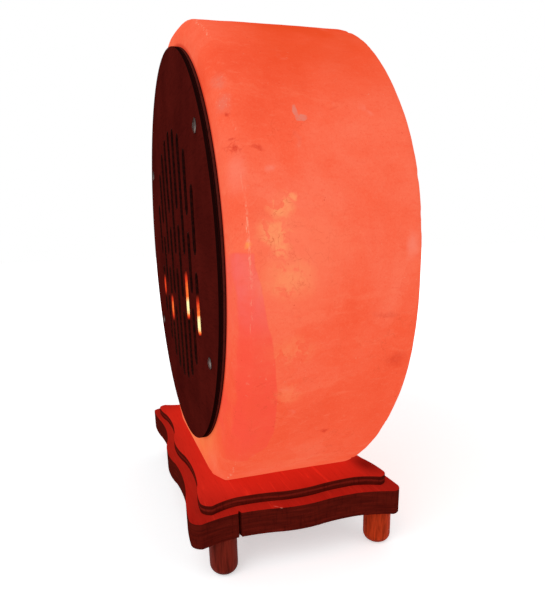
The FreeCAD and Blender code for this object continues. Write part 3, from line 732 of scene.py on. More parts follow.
def salt_finish(salt):
    """Lit rock salt: mottled coral with clearer yellow windows, cracks, rubbed edges and stains."""
    f = Finish("rock_salt", specular=0.0)
    warp, near_warp, ragged = f.warped(0.045, 22), f.warped(0.16, 7), f.warped(0.5, 2.0)
    # the light comes through most beside the bulb, in a wide haze with clear windows in it
    haze = f.times(f.patch((124, -15, 160), (16, 30, 36), 0.95, near_warp),
                   f.band(f.noise(0.06, 5, 0.6, at=near_warp), 0.3, 0.6, 0.45, 1.0))
    windows = clear_windows(f, near_warp, warp)
    colour = pink_rim_band(f, salt_ground(f, salt, warp))
    colour = f.painted(colour, (haze, 0.6, (255, 126, 92)))
    colour = f.mix(f.times(windows, 0.9), colour, tuple(salt.lit))

    bruise = bruises(f, near_warp)
    scuff = scuffs(f, bruise)
    specks = f.band(f.noise(0.55, 2, 0.5), 0.73, 0.8)
    crack_lines, cracks = hair_cracks(f, windows, haze)
    chip = f.patch((124.1, -34, 165), (4, 2.6, 1.6), 0.8, near_warp)
    # painted light of the bulb: the thinner salt near it shows brighter and yellower, mostly on the two
    # flat faces
    reach = f.drifting(f.distance((0, 0, BULB_Z / MM)),
                       f.noise(0.035, 5, 0.62, at=f.mapped(f.place, turn=LATTICE_TURN)), 34)
    colour = f.painted(
        colour,
        (cloudy_spots(f, near_warp), 0.5, (250, 142, 120)),
        (grey_marks(f, bruise, ragged), 0.85, (224, 130, 112)),
        (rust_stains(f, near_warp, ragged), 0.95, (198, 32, 20)),
        (specks, 0.45, (200, 52, 32)),
        (cracks, 1.0, (204, 74, 44)),
        (scuff, 0.6, (255, 178, 146)),
        (chip, 0.85, (255, 160, 84)),
        (plaque_shade(f), 0.6, (196, 44, 26)),
        (f.band(reach, 104, 46), 0.8, (255, 140, 78)),
        (f.band(reach, 58, 38), 0.6, (255, 204, 128)))

    slow = f.bump(f.noise(0.05, 3), 0.5, 0.7)
    grain = f.times(f.noise(1.1, 3, 0.6), 0.3)
    marks = f.bump(f.plus(grain, f.times(scuff, -0.9)), 0.25, 0.6, slow)
    return f.set(
        Base_Color=f.mix(0.76, colour, BLACK), Emission_Color=colour, Emission_Strength=salt.glow,
        Roughness=f.band(f.noise(0.12, 4, 0.6), 0.3, 0.7, 0.38, 0.62),
        Normal=f.bump(f.times(crack_lines, -1.0), 0.12, 0.5, marks))


def cavity_finish():
    """Rough ground salt round the bulb, with the bulb's light painted on it: brighter and yellower the
    nearer it is.
    """
    f = Finish("ground_salt", roughness=0.7, specular=0.2)
    reach = f.drifting(f.distance((0, 0, BULB_Z / MM)), f.noise(0.08, 5, 0.65), 46)
    colour = f.ramp(f.band(reach, 18, 118), (0.0, linear(255, 226, 150)), (0.3, linear(255, 176, 88)),
                    (0.62, linear(252, 112, 58)), (1.0, linear(214, 58, 28)))
    tool_marks = f.noise(0.2, 4, 0.6, at=f.mapped(f.place, scale=(1, 7, 1)))
    return f.set(Base_Color=f.mix(0.5, colour, BLACK), Emission_Color=colour, Emission_Strength=0.85,
                 Normal=f.bump(tool_marks, 0.4, 0.8))


# ------------------------------------------------------------------ the drum of salt

def drum_profile(salt):
    """(y, r) of the drum's rings, from the middle of the front face over both bevels to the back.

    The rings are close on the rims and far apart on the middle of both faces.
    """
    front, back, inner = SALT_LOW.y, SALT_HIGH.y, DRUM_RADIUS - salt.bevel
    hidden_ring, close_from, spacing, back_rings = 30 * MM, 60 * MM, 1.9 * MM, 16
    corners = [(front, close_from), (front, inner), (front + salt.bevel, DRUM_RADIUS),
               (back - salt.bevel, DRUM_RADIUS), (back, inner), (back, 0.0)]
    rings = divided(rounded_profile(corners, salt.edge_softness), spacing)
    rings = rings[(rings[:, 0] < back - 1e-9) | (rings[:, 1] > inner - 3 * MM)]
    flat_back = np.column_stack([
        np.full(back_rings, back), np.linspace(inner - 4 * MM, 0.0, back_rings)])
    return np.vstack([[(front, 0.0), (front, hidden_ring)], rings, flat_back])


def chip_depths(points, salt):
    """How deep the chips go at each point: depth sqrt(1 - (d / size)^2), each on a rim edge."""
    front, back, inner = SALT_LOW.y, SALT_HIGH.y, DRUM_RADIUS - salt.bevel
    drawn = np.random.default_rng(11)
    turn = drawn.random(salt.chips) * 2 * np.pi
    edge = drawn.integers(0, 4, salt.chips)
    edge_y = np.array([front, front + salt.bevel, back - salt.bevel, back])[edge]
    edge_r = np.array([inner, DRUM_RADIUS, DRUM_RADIUS, inner])[edge]
    size = (1.2 + 2.6 * drawn.random(salt.chips) ** 2) * MM
    depth = (0.15 + 0.5 * drawn.random(salt.chips)) * MM
    middles = np.column_stack([edge_r * np.cos(turn), edge_y, edge_r * np.sin(turn)])
    distance = np.linalg.norm(points[:, None, :] - middles[None], axis=2) / size
    return (depth * np.sqrt(np.clip(1 - distance ** 2, 0, None))).max(1)


def drum_skin(salt):
    """Points and faces of the drum's outside.

    A point is (r cos a, y, r sin a) from the drum's axis. It is then moved inwards by the slow
    waves, by the worn right-hand part of the back rim, 1.7 mm exp(-(a / 19 deg)^2), and by the
    chips.
    """
    segments, quick_depth, face_share = 720, 0.10 * MM, 0.4
    worn_depth, worn_spread, worn_from, worn_fade = 1.7 * MM, 19, SALT_HIGH.y - 9 * MM, 8 * MM
    profile = drum_profile(salt)
    level, reach = profile[profile[:, 1] > 1e-9].T
    angle = np.arange(segments) * 2 * np.pi / segments
    y, turn = np.meshgrid(level, angle, indexing="ij")
    r = np.broadcast_to(reach[:, None], y.shape)
    points = np.stack([r * np.cos(turn), y, r * np.sin(turn)], -1).reshape(-1, 3)

    from_axis = np.linalg.norm(points[:, ::2], axis=1)
    rim = np.clip((from_axis - 0.6 * DRUM_RADIUS) / (0.35 * DRUM_RADIUS), 0, 1)
    long_waves = uneven(points, seed=3, waves=40, longest=90 * MM, shortest=28 * MM)
    short_waves = uneven(points, seed=5, waves=40, longest=16 * MM, shortest=6 * MM)
    slow, quick = [np.clip(0.5 + 0.4 * waves, 0, 1) for waves in (long_waves, short_waves)]
    inward = (salt.waviness * slow + quick_depth * quick) * rim + chip_depths(points, salt)
    off = (np.degrees(turn.reshape(-1)) + 180) % 360 - 180
    fade = np.clip((points[:, 1] - worn_from) / worn_fade, 0, 1)
    worn = worn_depth * np.exp(-(off / worn_spread) ** 2) * rim * fade
    outer_side = np.sign(points[:, 1] - (SALT_LOW.y + SALT_HIGH.y) / 2)
    on_bevel = from_axis > DRUM_RADIUS - salt.bevel - 2 * MM
    points[:, ::2] -= points[:, ::2] / from_axis[:, None] * inward[:, None]
    points[:, 1] -= outer_side * inward * face_share * on_bevel + worn

    faces = grid_faces(len(level), segments)[:, ::-1].tolist()
    around = np.arange(segments)
    beside = (around + 1) % segments
    front_tip, back_tip = len(points), len(points) + 1
    points = np.vstack([points, (0, SALT_LOW.y, 0), (0, SALT_HIGH.y, 0)])
    last = (len(level) - 1) * segments
    faces += np.stack([np.full(segments, front_tip), around, beside], 1).tolist()
    faces += np.stack([np.full(segments, back_tip), last + beside, last + around], 1).tolist()
    points[:, 2] += DRUM_Z
    return points, faces


def cut_level(mesh, height):
    """Takes away what lies under the height and closes the cut."""
    work = bmesh.new()
    work.from_mesh(mesh)
    everything = work.verts[:] + work.edges[:] + work.faces[:]
    bmesh.ops.bisect_plane(
        work, geom=everything, plane_co=(0, 0, height), plane_no=(0, 0, 1), clear_inner=True)
    open_edges = [edge for edge in work.edges if edge.is_boundary]
    bmesh.ops.contextual_create(work, geom=open_edges)
    work.to_mesh(mesh)
    work.free()


def laid_level(points):
    """The points turned from standing along Z to lying along -Y."""
    return np.column_stack([points[:, 0], points[:, 2], -points[:, 1]])


def drum_hollows(salt):
    """Points and faces of the recess, the bore with its round top, and the six screw holes."""
    ahead, recess_back = -60 * MM, SALT_LOW.y + salt.recess_depth
    recess = [(0, ahead), (salt.recess_radius, ahead), (salt.recess_radius, recess_back), (0, recess_back)]
    points, faces = turned_surface(divided(np.array(recess), 12 * MM), segments=128)
    shapes = [(laid_level(points) + (0, 0, PLAQUE_Z), faces)]
    lift = np.linspace(0, np.pi / 2, 13)
    dome = (np.column_stack([np.cos(lift), np.sin(lift)]) * salt.bore_radius
            + (0, SALT_LOW.z + salt.bore_height))
    low = SALT_LOW.z - 4 * MM
    bore = np.vstack([[(0, low), (salt.bore_radius, low)], dome])
    bore[-1, 0] = 0.0
    shapes.append(turned_surface(bore, segments=96))
    for node, level in (("plaque_plugs", True), ("drum_plugs", False)):
        for centre, radius, start, end in plug_places(node, level):
            outline = [(0, start), (radius, start), (radius, end), (0, end)]
            pin, pin_faces = turned_surface(outline, segments=24)
            shapes.append(((laid_level(pin) if level else pin) + centre, pin_faces))
    return shapes


def plug_places(node, level):
    """(place, radius, start, end) of each wall plug, read from its solid's corners."""
    low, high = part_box(node)
    groups = {}
    for corner in np.array([vertex.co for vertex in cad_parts[node].data.vertices]):
        key = (corner[0] > 0, level and corner[2] > (low.z + high.z) / 2)
        groups.setdefault(key, []).append(corner)
    clear = 4 * MM
    places = []
    for group in groups.values():
        least, most = np.min(group, axis=0), np.max(group, axis=0)
        x, y, z = (least + most) / 2
        radius = (most[0] - least[0]) / 2
        if level:
            places.append((np.array([x, 0, z]), radius, low.y - clear, high.y))
        else:
            places.append((np.array([x, y, 0]), radius, low.z - clear, high.z))
    return places


class LAMP_OT_salt(bpy.types.Operator):
    """Drum of rock salt with its recess, bore and rubbed rims"""

    bl_idname = "lamp.salt"
    bl_label = "Salt drum"

    def execute(self, context):
        salt = context.scene.lamp_salt
        drum = new_piece("salt_drum", *drum_skin(salt))
        cut_level(drum.data, SALT_LOW.z)
        outward(drum.data)
        hollows = [new_piece(f"hollow_{number}", *shape)
                   for number, shape in enumerate(drum_hollows(salt))]
        for hollow in hollows:
            outward(hollow.data)
            cut = drum.modifiers.new(hollow.name, "BOOLEAN")
            cut.operation = "DIFFERENCE"
            cut.solver = "EXACT"
            cut.object = hollow
        finished(drum, sharp=40)
        for hollow in hollows:
            bpy.data.objects.remove(hollow)
        settle(drum, "base_and_drum", "salt_block")
        wear(drum, salt_finish(salt), cavity_finish())

        x, y, z = face_places(drum.data)[0].T
        slack, skin = 0.1 * MM, 0.05 * MM
        in_recess = np.hypot(x, z - PLAQUE_Z) < salt.recess_radius + slack
        in_recess &= (y > SALT_LOW.y + skin) & (y < SALT_LOW.y + salt.recess_depth + slack)
        bore_top = SALT_LOW.z + salt.bore_height + salt.bore_radius
        in_bore = np.hypot(x, y) < salt.bore_radius + slack
        in_bore &= (z > SALT_LOW.z + skin) & (z < bore_top + slack)
        share_out(drum.data, np.where(in_recess | in_bore, 1, 0))
        fewest_faces = 10000
        if len(drum.data.polygons) < fewest_faces:
            raise RuntimeError("the salt drum lost its surface when it was hollowed")
        return {"FINISHED"}


# ------------------------------------------------------------------ the plaque

def stained_finish(plaque):
    """Thin board stained dark maroon, with faint long grain and fine pores."""
    f = Finish("stained_board", specular=0.0)
    along = f.mapped(f.place, scale=(0.12, 1, 1), turn=(0, 3, 0))
    grain = f.noise(0.9, 6, 0.62, 1.0, at=f.warped(0.05, 3, at=along))
    cloud = f.noise(0.025, 4, 0.6)
    pores = f.band(f.noise(2.4, 3, 0.6, at=f.mapped(f.place, scale=(0.16, 1, 1))), 0.66, 0.74)
    tone = f.painted(
        tuple(plaque.stain),
        (f.band(cloud, 0.3, 0.7), 0.6, (60, 12, 10)),
        (f.band(grain, 0.45, 0.75), 0.45, (46, 8, 7)),
        (f.band(grain, 0.45, 0.25), 0.25, (84, 22, 17)),
        (pores, 0.5, (34, 7, 6)))
    return f.set(Base_Color=tone, Roughness=f.band(cloud, 0.3, 0.7, 0.42, 0.58),
                 Normal=f.bump(f.minus(grain, f.times(pores, 0.5)), 0.05, 0.6))


def rim_finish():
    """Cut edge of both boards: a burnt line in front, then plum brown, then dark maroon."""
    f = Finish("board_edge", roughness=0.7, specular=0.0)
    y = f.split(f.warped(0.5, 0.35))[1]
    soot = f.noise(0.35, 5, 0.7)
    colour = f.painted(
        linear(26, 9, 8),
        (f.band(y, -40.6, -40.3), 1.0, (84, 38, 32)),
        (f.band(y, -39.75, -39.45), 1.0, (58, 16, 13)),
        (f.band(soot, 0.5, 0.72), 0.6, (34, 12, 11)))
    return f.set(Base_Color=colour, Normal=f.bump(soot, 0.12, 0.6))


def opening_finish(plaque):
    """Burnt walls of the openings, four of which have the lamp's light painted on them low down."""
    f = Finish("opening_wall", roughness=0.8, specular=0.04)
    soot = f.noise(0.5, 4, 0.65)
    colour = f.mix(f.band(soot, 0.35, 0.7), tuple(plaque.char), linear(48, 16, 12))
    # place of each painted glow of lamplight across the plaque and under its middle, half height,
    # softness, strength
    caught = ((-64, 18, 11, 0.9, 0.36), (-34, 31, 12, 0.9, 0.5), (26, 24, 9, 0.8, 1.0),
              (26, 16, 17, 0.95, 0.5), (56, 30, 8, 0.8, 1.0), (56, 25, 13, 0.95, 0.5))
    glow = f.blots(f.place, *[
        ((x, -41, PLAQUE_Z / MM - drop), (6, 9, height), soft, strength)
        for x, drop, height, soft, strength in caught])
    glow = f.times(glow, f.band(f.split(f.place)[1], -42.6, -41.4, 0.9, 1.0),
                   f.band(soot, 0.25, 0.6, 0.8, 1.0))
    warm = f.ramp(glow, (0.0, linear(70, 10, 5)), (0.3, linear(206, 50, 24)),
                  (0.55, linear(255, 122, 52)), (0.9, linear(255, 238, 170)))
    return f.set(Base_Color=colour, Emission_Color=f.mix(f.band(glow, 0.0, 0.3), BLACK, warm),
                 Emission_Strength=plaque.light_catch)


class LAMP_OT_plaque(bpy.types.Operator):
    """Pierced front board and the board behind it, with burnt edges"""

    bl_idname = "lamp.plaque"
    bl_label = "Plaque"

    def execute(self, context):
        plaque = context.scene.lamp_plaque
        finishes = (stained_finish(plaque), rim_finish(), opening_finish(plaque))
        for node, name, slot in (("plaque_front", "plaque_face_board", "stained_board"),
                                 ("plaque_back", "plaque_rear_board", "stained_board_back")):
            board = softened_copy(node, name, "base_and_drum", plaque.edge)
            wear(board, *finishes)
            centres, normals = face_places(board.data)
            outside = np.hypot(centres[:, 0], centres[:, 2] - PLAQUE_Z) > PLAQUE_RADIUS - 0.6 * MM
            wall = np.abs(normals[:, 1]) < 0.8
            share_out(board.data, np.where(wall & outside, 1, np.where(wall, 2, 0)))
        return {"FINISHED"}


# ------------------------------------------------------------------ the wooden base

def tier_finish(name, base, seed_shift):
    """Board with stained grained faces, painted lighter and given painted lamplight, dark end-grain sides,
    and a painted shadow behind the drum.
    """
    f = Finish(name, specular=0.0)
    x, y, z = f.split(f.place)
    shifted = f.mapped(f.place, scale=(0.10, 1, 1), shift=(seed_shift, seed_shift * 2, 0), turn=(0, 0, 2))
    figure = f.noise(0.16, 5, 0.6, 1.6, at=f.warped(0.03, 6, at=shifted))
    fibre = f.noise(1.3, 5, 0.65, at=f.mapped(f.place, scale=(0.06, 1, 1), turn=(0, 0, 1)))
    ply = f.noise(0.9, 4, 0.6, at=f.mapped(f.place, scale=(0.08, 0.08, 1.1)))
    end = f.noise(0.7, 4, 0.6, at=f.mapped(f.place, scale=(1, 1, 0.18)))
    ply_line = f.near(f.split(f.warped(0.08, 1.2))[2], 38.9, 0.8, 0.25)
    tone = f.painted(
        tuple(base.top),
        (f.band(figure, 0.35, 0.7), 0.55, (142, 22, 16)),
        (f.band(figure, 0.42, 0.28), 0.4, (204, 52, 34)),
        (f.band(fibre, 0.52, 0.72), 0.5, (110, 16, 12)))
    cut = f.painted(
        tuple(base.side),
        (f.band(ply, 0.38, 0.66), 0.7, (70, 15, 11)),
        (f.band(ply, 0.40, 0.28), 0.5, (134, 36, 26)),
        (ply_line, 0.4, (160, 46, 34)),
        (f.band(end, 0.5, 0.72), 0.5, (58, 11, 9)))
    # the faces and the cut sides differ in stain and grain, and the upward faces are also painted lighter
    # for the drum's light that falls on them
    facing = f.tree.nodes.new("ShaderNodeNewGeometry")
    up = f.split(facing.outputs["True Normal"])[2]
    colour = f.mix(f.band(f.math("ABSOLUTE", up), 0.35, 0.8), cut, tone)

    # painted lamplight from the drum, strongest beside its foot, on the upward faces only
    gap_x, gap_y = [f.math("MAXIMUM", f.minus(f.math("ABSOLUTE", along), half), 0.0)
                    for along, half in ((x, 60), (y, 38))]
    gap = f.math("SQRT", f.plus(f.times(gap_x, gap_x), f.times(gap_y, gap_y)))
    # painted shadow of the drum on the board's top behind its right foot, which also dims the painted
    # lamplight there
    painted_drum_shadow = f.patch((70, 48, 41), (20, 12, 6), 0.95)
    spill = f.times(f.band(gap, 48, 0, 0.28, 1.0), f.band(up, 0.4, 0.9), f.band(z, 33, 41, 0.45, 1.0),
                    f.minus(1.0, f.times(painted_drum_shadow, 0.8)))
    # one old scratch runs aslant over the right-hand step
    scratch = f.times(f.near(f.minus(x, y), 104.2, 0.6, 0.2), f.band(x, 88.6, 89.6),
                      f.band(x, 95.6, 94.8), f.band(z, 35.6, 36.0), f.band(f.noise(0.9, 3), 0.3, 0.5))
    colour = f.painted(colour, (painted_drum_shadow, 0.5, (84, 16, 12)), (scratch, 0.6, (214, 128, 112)))
    return f.set(
        Base_Color=colour, Emission_Strength=base.spill,
        Emission_Color=f.mix(spill, BLACK, f.mix(0.5, tone, linear(255, 50, 30))),
        Roughness=f.band(fibre, 0.3, 0.7, 0.4, 0.6),
        Normal=f.bump(f.plus(f.times(fibre, 0.6), f.times(ply, 0.4)), 0.10, 0.6))


def peg_finish(name, tone, seed_shift):
    """Turned peg with long dark grain up its length and a darker foot."""
    f = Finish(name, specular=0.03)
    z = f.split(f.place)[2]
    moved = f.mapped(f.place, scale=(1, 1, 0.09), shift=(seed_shift, seed_shift, 0))
    grain = f.noise(0.55, 6, 0.62, 0.8, at=f.warped(0.06, 2, at=moved))
    fibre = f.noise(2.2, 4, 0.6, at=f.mapped(f.place, scale=(1, 1, 0.05)))
    dark = tuple(0.42 * part for part in tone)
    light = tuple(min(1.0, 1.5 * part) for part in tone)
    colour = f.mix(f.band(grain, 0.42, 0.68, 0.0, 0.85), tone, dark)
    colour = f.mix(f.band(grain, 0.42, 0.26, 0.0, 0.6), colour, light)
    colour = f.mix(f.band(fibre, 0.55, 0.72, 0.0, 0.4), colour, dark)
    colour = f.mix(f.band(z, 3.5, 0.2, 0.0, 0.5), colour, dark)
    return f.set(Base_Color=colour, Roughness=f.band(grain, 0.3, 0.7, 0.42, 0.58),
                 Normal=f.bump(f.plus(grain, f.times(fibre, 0.5)), 0.14, 0.6))


def peg_profile(low, shoulder, high, radius, tenon, rounding):
    """(radius, height) of a peg from the middle of its foot to the middle of its tenon's top.

    The foot's corner is the quarter circle (R - q + q sin b, low + q - q cos b).
    """
    bend = np.linspace(0, np.pi / 2, 12)
    corner = np.column_stack([radius - rounding + rounding * np.sin(bend),
                              low + rounding - rounding * np.cos(bend)])
    body = np.column_stack([np.full(14, radius), np.linspace(low + rounding + MM, shoulder, 14)])
    upper = [(tenon, shoulder), (tenon, high), (0.0, high)]
    return np.vstack([[(0.0, low), ((radius - rounding) * 0.6, low)], corner, body, upper])


def hand_turned(seed):
    """Function for turned_surface: r less up to 1.2 % of it, by waves of its own."""
    def dips(r, a, h):
        here = np.stack([r * np.cos(a), r * np.sin(a), h * 0.4], -1).reshape(-1, 3)
        dip = 0.5 + 0.5 * uneven(here, seed, waves=24, longest=22 * MM, shortest=6 * MM)
        return r * (1 - 0.012 * dip.reshape(r.shape))
    return dips


class LAMP_OT_base(bpy.types.Operator):
    """Both serpentine tiers of the base, their edges rubbed round"""

    bl_idname = "lamp.base"
    bl_label = "Base"

    def execute(self, context):
        base = context.scene.lamp_base
        for tier, seed_shift in (("upper", 0.0), ("lower", 37.0)):
            slot = f"{tier}_board_wood"
            board = softened_copy(f"base_{tier}_board", f"{tier}_tier", "base_and_drum",
                                  base.edge, segments=3)
            wear(board, tier_finish(slot, base, seed_shift))
        return {"FINISHED"}


class LAMP_OT_pegs(bpy.types.Operator):
    """Four turned pegs with rounded feet"""

    bl_idname = "lamp.pegs"
    bl_label = "Pegs"

    def execute(self, context):
        base = context.scene.lamp_base
        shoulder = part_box("base_lower_board")[0].z
        for number, place in enumerate(("front_left", "front_right", "back_left", "back_right")):
            low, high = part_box(f"foot_{place}")
            radius = (high.x - low.x) / 2
            middle = np.array([(low.x + high.x) / 2, (low.y + high.y) / 2, 0.0])
            profile = peg_profile(low.z, shoulder, high.z, radius, base.tenon_radius, base.peg_rounding)
            points, faces = turned_surface(profile, 72, hand_turned(seed=20 + number))
            peg = closed_piece(f"peg_{place}", (points + middle, faces), "base_and_drum",
                               f"foot_{place}", sharp=50)
            # the back right peg is painted lighter, as it shows lit
            tone = tuple(base.painted_lit_peg if place == "back_right" else base.peg)
            wear(peg, peg_finish(f"foot_wood_{place}", tone, 13.0 * number))
        return {"FINISHED"}


# ------------------------------------------------------------------ metal, plastic and ceramic

def metal_finish(name, screen_colour, roughness, scratch=0.5, tarnish=0.25, edge_tint=(1, 1, 1)):
    """Plated or drawn metal with fine scratches and dull spots."""
    f = Finish(name, roughness=roughness, metallic=1.0)
    colour = linear(*screen_colour)
    lines = f.noise(1.6, 5, 0.7, at=f.mapped(f.place, scale=(1, 1, 9), turn=(0, 20, 0)))
    dull = f.noise(0.45, 4, 0.6)
    dark = tuple(0.55 * part for part in colour)
    return f.set(Base_Color=f.mix(f.band(dull, 0.5, 0.75, 0.0, tarnish), colour, dark),
                 Specular_Tint=edge_tint,
                 Roughness=f.band(f.plus(lines, f.times(dull, 0.5)), 0.5, 1.0,
                                  roughness * 0.75, min(1.0, roughness * 1.5)),
                 Normal=f.bump(lines, 0.02, scratch))


def moulded_finish(name, screen_colour, roughness):
    """Moulded plastic with a fine pebbled skin."""
    f = Finish(name, roughness=roughness, specular=0.45)
    colour = linear(*screen_colour)
    smear = f.noise(0.2, 4, 0.6)
    lighter = tuple(min(1.0, part * 1.7 + 0.004) for part in colour)
    return f.set(Base_Color=f.mix(f.band(smear, 0.45, 0.75, 0.0, 0.5), colour, lighter),
                 Roughness=f.band(smear, 0.3, 0.7, roughness * 0.85, roughness * 1.2),
                 Normal=f.bump(f.noise(3.0, 3, 0.5), 0.03, 0.5))


def fired_finish(name, screen_colour):
    """Unglazed ceramic with tiny dark specks."""
    f = Finish(name, roughness=0.75, specular=0.3)
    colour = linear(*screen_colour)
    tone = f.mix(f.band(f.noise(0.3, 4), 0.3, 0.7, 0.0, 0.4), colour, tuple(0.8 * part for part in colour))
    specks = f.band(f.noise(2.0, 2), 0.7, 0.76)
    return f.set(Base_Color=f.painted(tone, (specks, 0.6, (120, 110, 96))),
                 Normal=f.bump(f.noise(1.4, 4, 0.6), 0.06, 0.6))


class LAMP_OT_screws(bpy.types.Operator):
    """Screws of the plaque, the drum and the boards, with their washers and wall plugs"""

    bl_idname = "lamp.screws"
    bl_label = "Screws"

    def execute(self, context):
        chrome = metal_finish("chrome_screw", (124, 112, 108), 0.3, 0.3, 0.6, (0.16, 0.09, 0.08))
        zinc = metal_finish("zinc_screw", (196, 196, 190), 0.34, 0.6, 0.4)
        plug = moulded_finish("plug_plastic", (176, 172, 162), 0.6)
        for node, name, slot, finish, width in (
                ("plaque_screws", "plaque_cross_screws", "chrome_screw", chrome, 0.12 * MM),
                ("board_screws", "board_sunk_screws", "zinc_screw", zinc, 0.10 * MM),
                ("drum_screws", "drum_long_screws", "zinc_screw", zinc, 0.15 * MM),
                ("drum_washers", "drum_flat_washers", "zinc_screw", zinc, 0.15 * MM)):
            wear(softened_copy(node, name, "base_and_drum", width), finish)
        for node in ("plaque_plugs", "drum_plugs"):
            wear(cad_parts[node], plug)
        return {"FINISHED"}


# ------------------------------------------------------------------ the lampholder

def fluted(depth, count, low, high, beyond):
    """Function for turned_surface: r less depth (0.5 - 0.5 cos(count a)) between two heights.

    Only what lies further out than beyond is fluted.
    """
    def flutes(r, a, h):
        outside = (h > low) & (h < high) & (r > beyond)
        return r - np.where(outside, depth * (0.5 - 0.5 * np.cos(count * a)), 0.0)
    return flutes


def thread_wave(pitch, a, h, low, high):
    """Thread cos(2 pi h / pitch - a), and how far it is in force between two heights, 0 to 1."""
    in_force = np.clip((h - low) / MM, 0, 1) * np.clip((high - h) / MM, 0, 1)
    return np.cos(2 * np.pi * h / pitch - a), in_force


def holder_cup():
    """Fluted lower cup of the lampholder, open on top, with the cord's hole in its floor."""
    low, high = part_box("holder_cap")
    outer = (high.x - low.x) / 2
    wall, floor, hole = 1.6 * MM, 2.0 * MM, 4.4 * MM
    profile = divided(rounded_profile([
        (hole, low.z), (outer, low.z), (outer, high.z), (outer - wall, high.z),
        (outer - wall, low.z + floor), (hole, low.z + floor), (hole, low.z + 0.2 * MM)],
        softness=0.5 * MM), longest=1.2 * MM)
    flutes = fluted(depth=0.45 * MM, count=36, low=low.z + 2.2 * MM, high=high.z - 2.6 * MM,
                    beyond=13 * MM)
    return closed_piece("holder_cup", turned_surface(profile, 216, flutes), "lamp_unit",
                        "holder_cap", sharp=40)


def threaded_sleeve(bulb):
    """Screw shell of the holder: a thin sleeve whose wall is rolled into a thread.

    With the thread's wave w, r is moved by t (w - 1) on the outside and by t (w + 1) on the
    inside, so the wall stays between the solid's two radii.
    """
    low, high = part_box("screw_shell")
    flange = (high.x - low.x) / 2
    inner, wall, step, rolled_in = 7.0 * MM, 0.5 * MM, 0.5 * MM, 0.12 * MM
    outer = inner + wall
    profile = divided(rounded_profile([
        (inner, low.z), (flange, low.z), (flange, low.z + step), (outer, low.z + step),
        (outer, high.z), (inner, high.z), (inner, low.z + 0.1 * MM)],
        softness=0.12 * MM, steps=3), longest=0.45 * MM)

    def rolled(r, a, h):
        wave, in_force = thread_wave(bulb.thread_pitch, a, h, low.z + 1.2 * MM, high.z - 1.2 * MM)
        bow = rolled_in * np.where(r > (inner + outer) / 2, wave - 1, wave + 1)
        return r + bow * in_force * (r < outer + 0.2 * MM)

    return closed_piece("thread_sleeve", turned_surface(profile, 96, rolled), "lamp_unit",
                        "screw_shell", sharp=50)


class LAMP_OT_lampholder(bpy.types.Operator):
    """Lampholder with its fluted cup, its sleeve, contacts and cord bush"""

    bl_idname = "lamp.lampholder"
    bl_label = "Lampholder"

    def execute(self, context):
        plastic = moulded_finish("holder_plastic", (30, 29, 29), 0.3)
        rubber = moulded_finish("grip_plastic", (38, 37, 36), 0.62)
        steel = metal_finish("spring_steel", (186, 186, 184), 0.3, 0.6, 0.3)
        brass = metal_finish("brass_contact", (214, 176, 104), 0.3, 0.5, 0.35)
        nickel = metal_finish("nickel_shell", (206, 200, 186), 0.28, 0.5, 0.3)
        wear(holder_cup(), plastic)
        for node, name, body, slot, finish, width in (
                ("holder_body", "holder_sleeve", "lamp_unit", "holder_plastic", plastic, 0.3 * MM),
                ("cord_grip", "cord_bush", "lamp_unit", "grip_plastic", rubber, 0.35 * MM),
                ("clip_band", "clip_ring", "lamp_unit", "spring_steel", steel, 0.08 * MM),
                ("clip_arm_left", "spring_arm_left", "arm_left", "spring_steel", steel, 0.08 * MM),
                ("clip_arm_right", "spring_arm_right", "arm_right", "spring_steel", steel, 0.08 * MM)):
            wear(softened_copy(node, name, body, width), finish)
        wear(threaded_sleeve(context.scene.lamp_bulb), nickel)
        wear(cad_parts["terminal_block"], fired_finish("ceramic_block", (226, 220, 204)))
        for node in ("centre_contact", "side_contact", "terminal_screws"):
            wear(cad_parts[node], brass)
        return {"FINISHED"}


# ------------------------------------------------------------------ the bulb

def lit_glass_finish(bulb):
    """Bulb glass as it shows when lit: an even warm light, whitest beside the filament."""
    f = Finish("lit_glass", roughness=0.12, specular=0.5)
    reach = f.drifting(f.distance((0, 0, FILAMENT_LOW.z / MM)), f.noise(0.12, 3), 14)
    colour = f.ramp(f.band(reach, 10, 38), (0.0, linear(255, 240, 205)), (0.5, tuple(bulb.warmth)),
                    (1.0, linear(255, 160, 80)))
    return f.set(Base_Color=linear(240, 220, 190), Emission_Color=colour, Emission_Strength=bulb.light)


def clear_glass_finish(name, screen_colour):
    """Drawn glass with faint seeds and a slight tint."""
    f = Finish(name, roughness=0.08, specular=0.5)
    seeds = f.band(f.noise(0.9, 3), 0.62, 0.72)
    return f.set(Base_Color=f.painted(linear(*screen_colour), (seeds, 0.4, (150, 130, 110))),
                 Normal=f.bump(f.noise(0.3, 3), 0.08, 0.4))


def glowing_finish():
    """White-hot wire, a little redder at its cooler ends."""
    f = Finish("glowing_filament", roughness=0.4)
    ends = f.math("ABSOLUTE", f.split(f.place)[0])
    colour = f.ramp(f.band(ends, 3.5, 7.0), (0.0, linear(255, 244, 214)), (1.0, linear(255, 150, 70)))
    return f.set(Base_Color=linear(255, 220, 160), Emission_Color=colour, Emission_Strength=6.0)


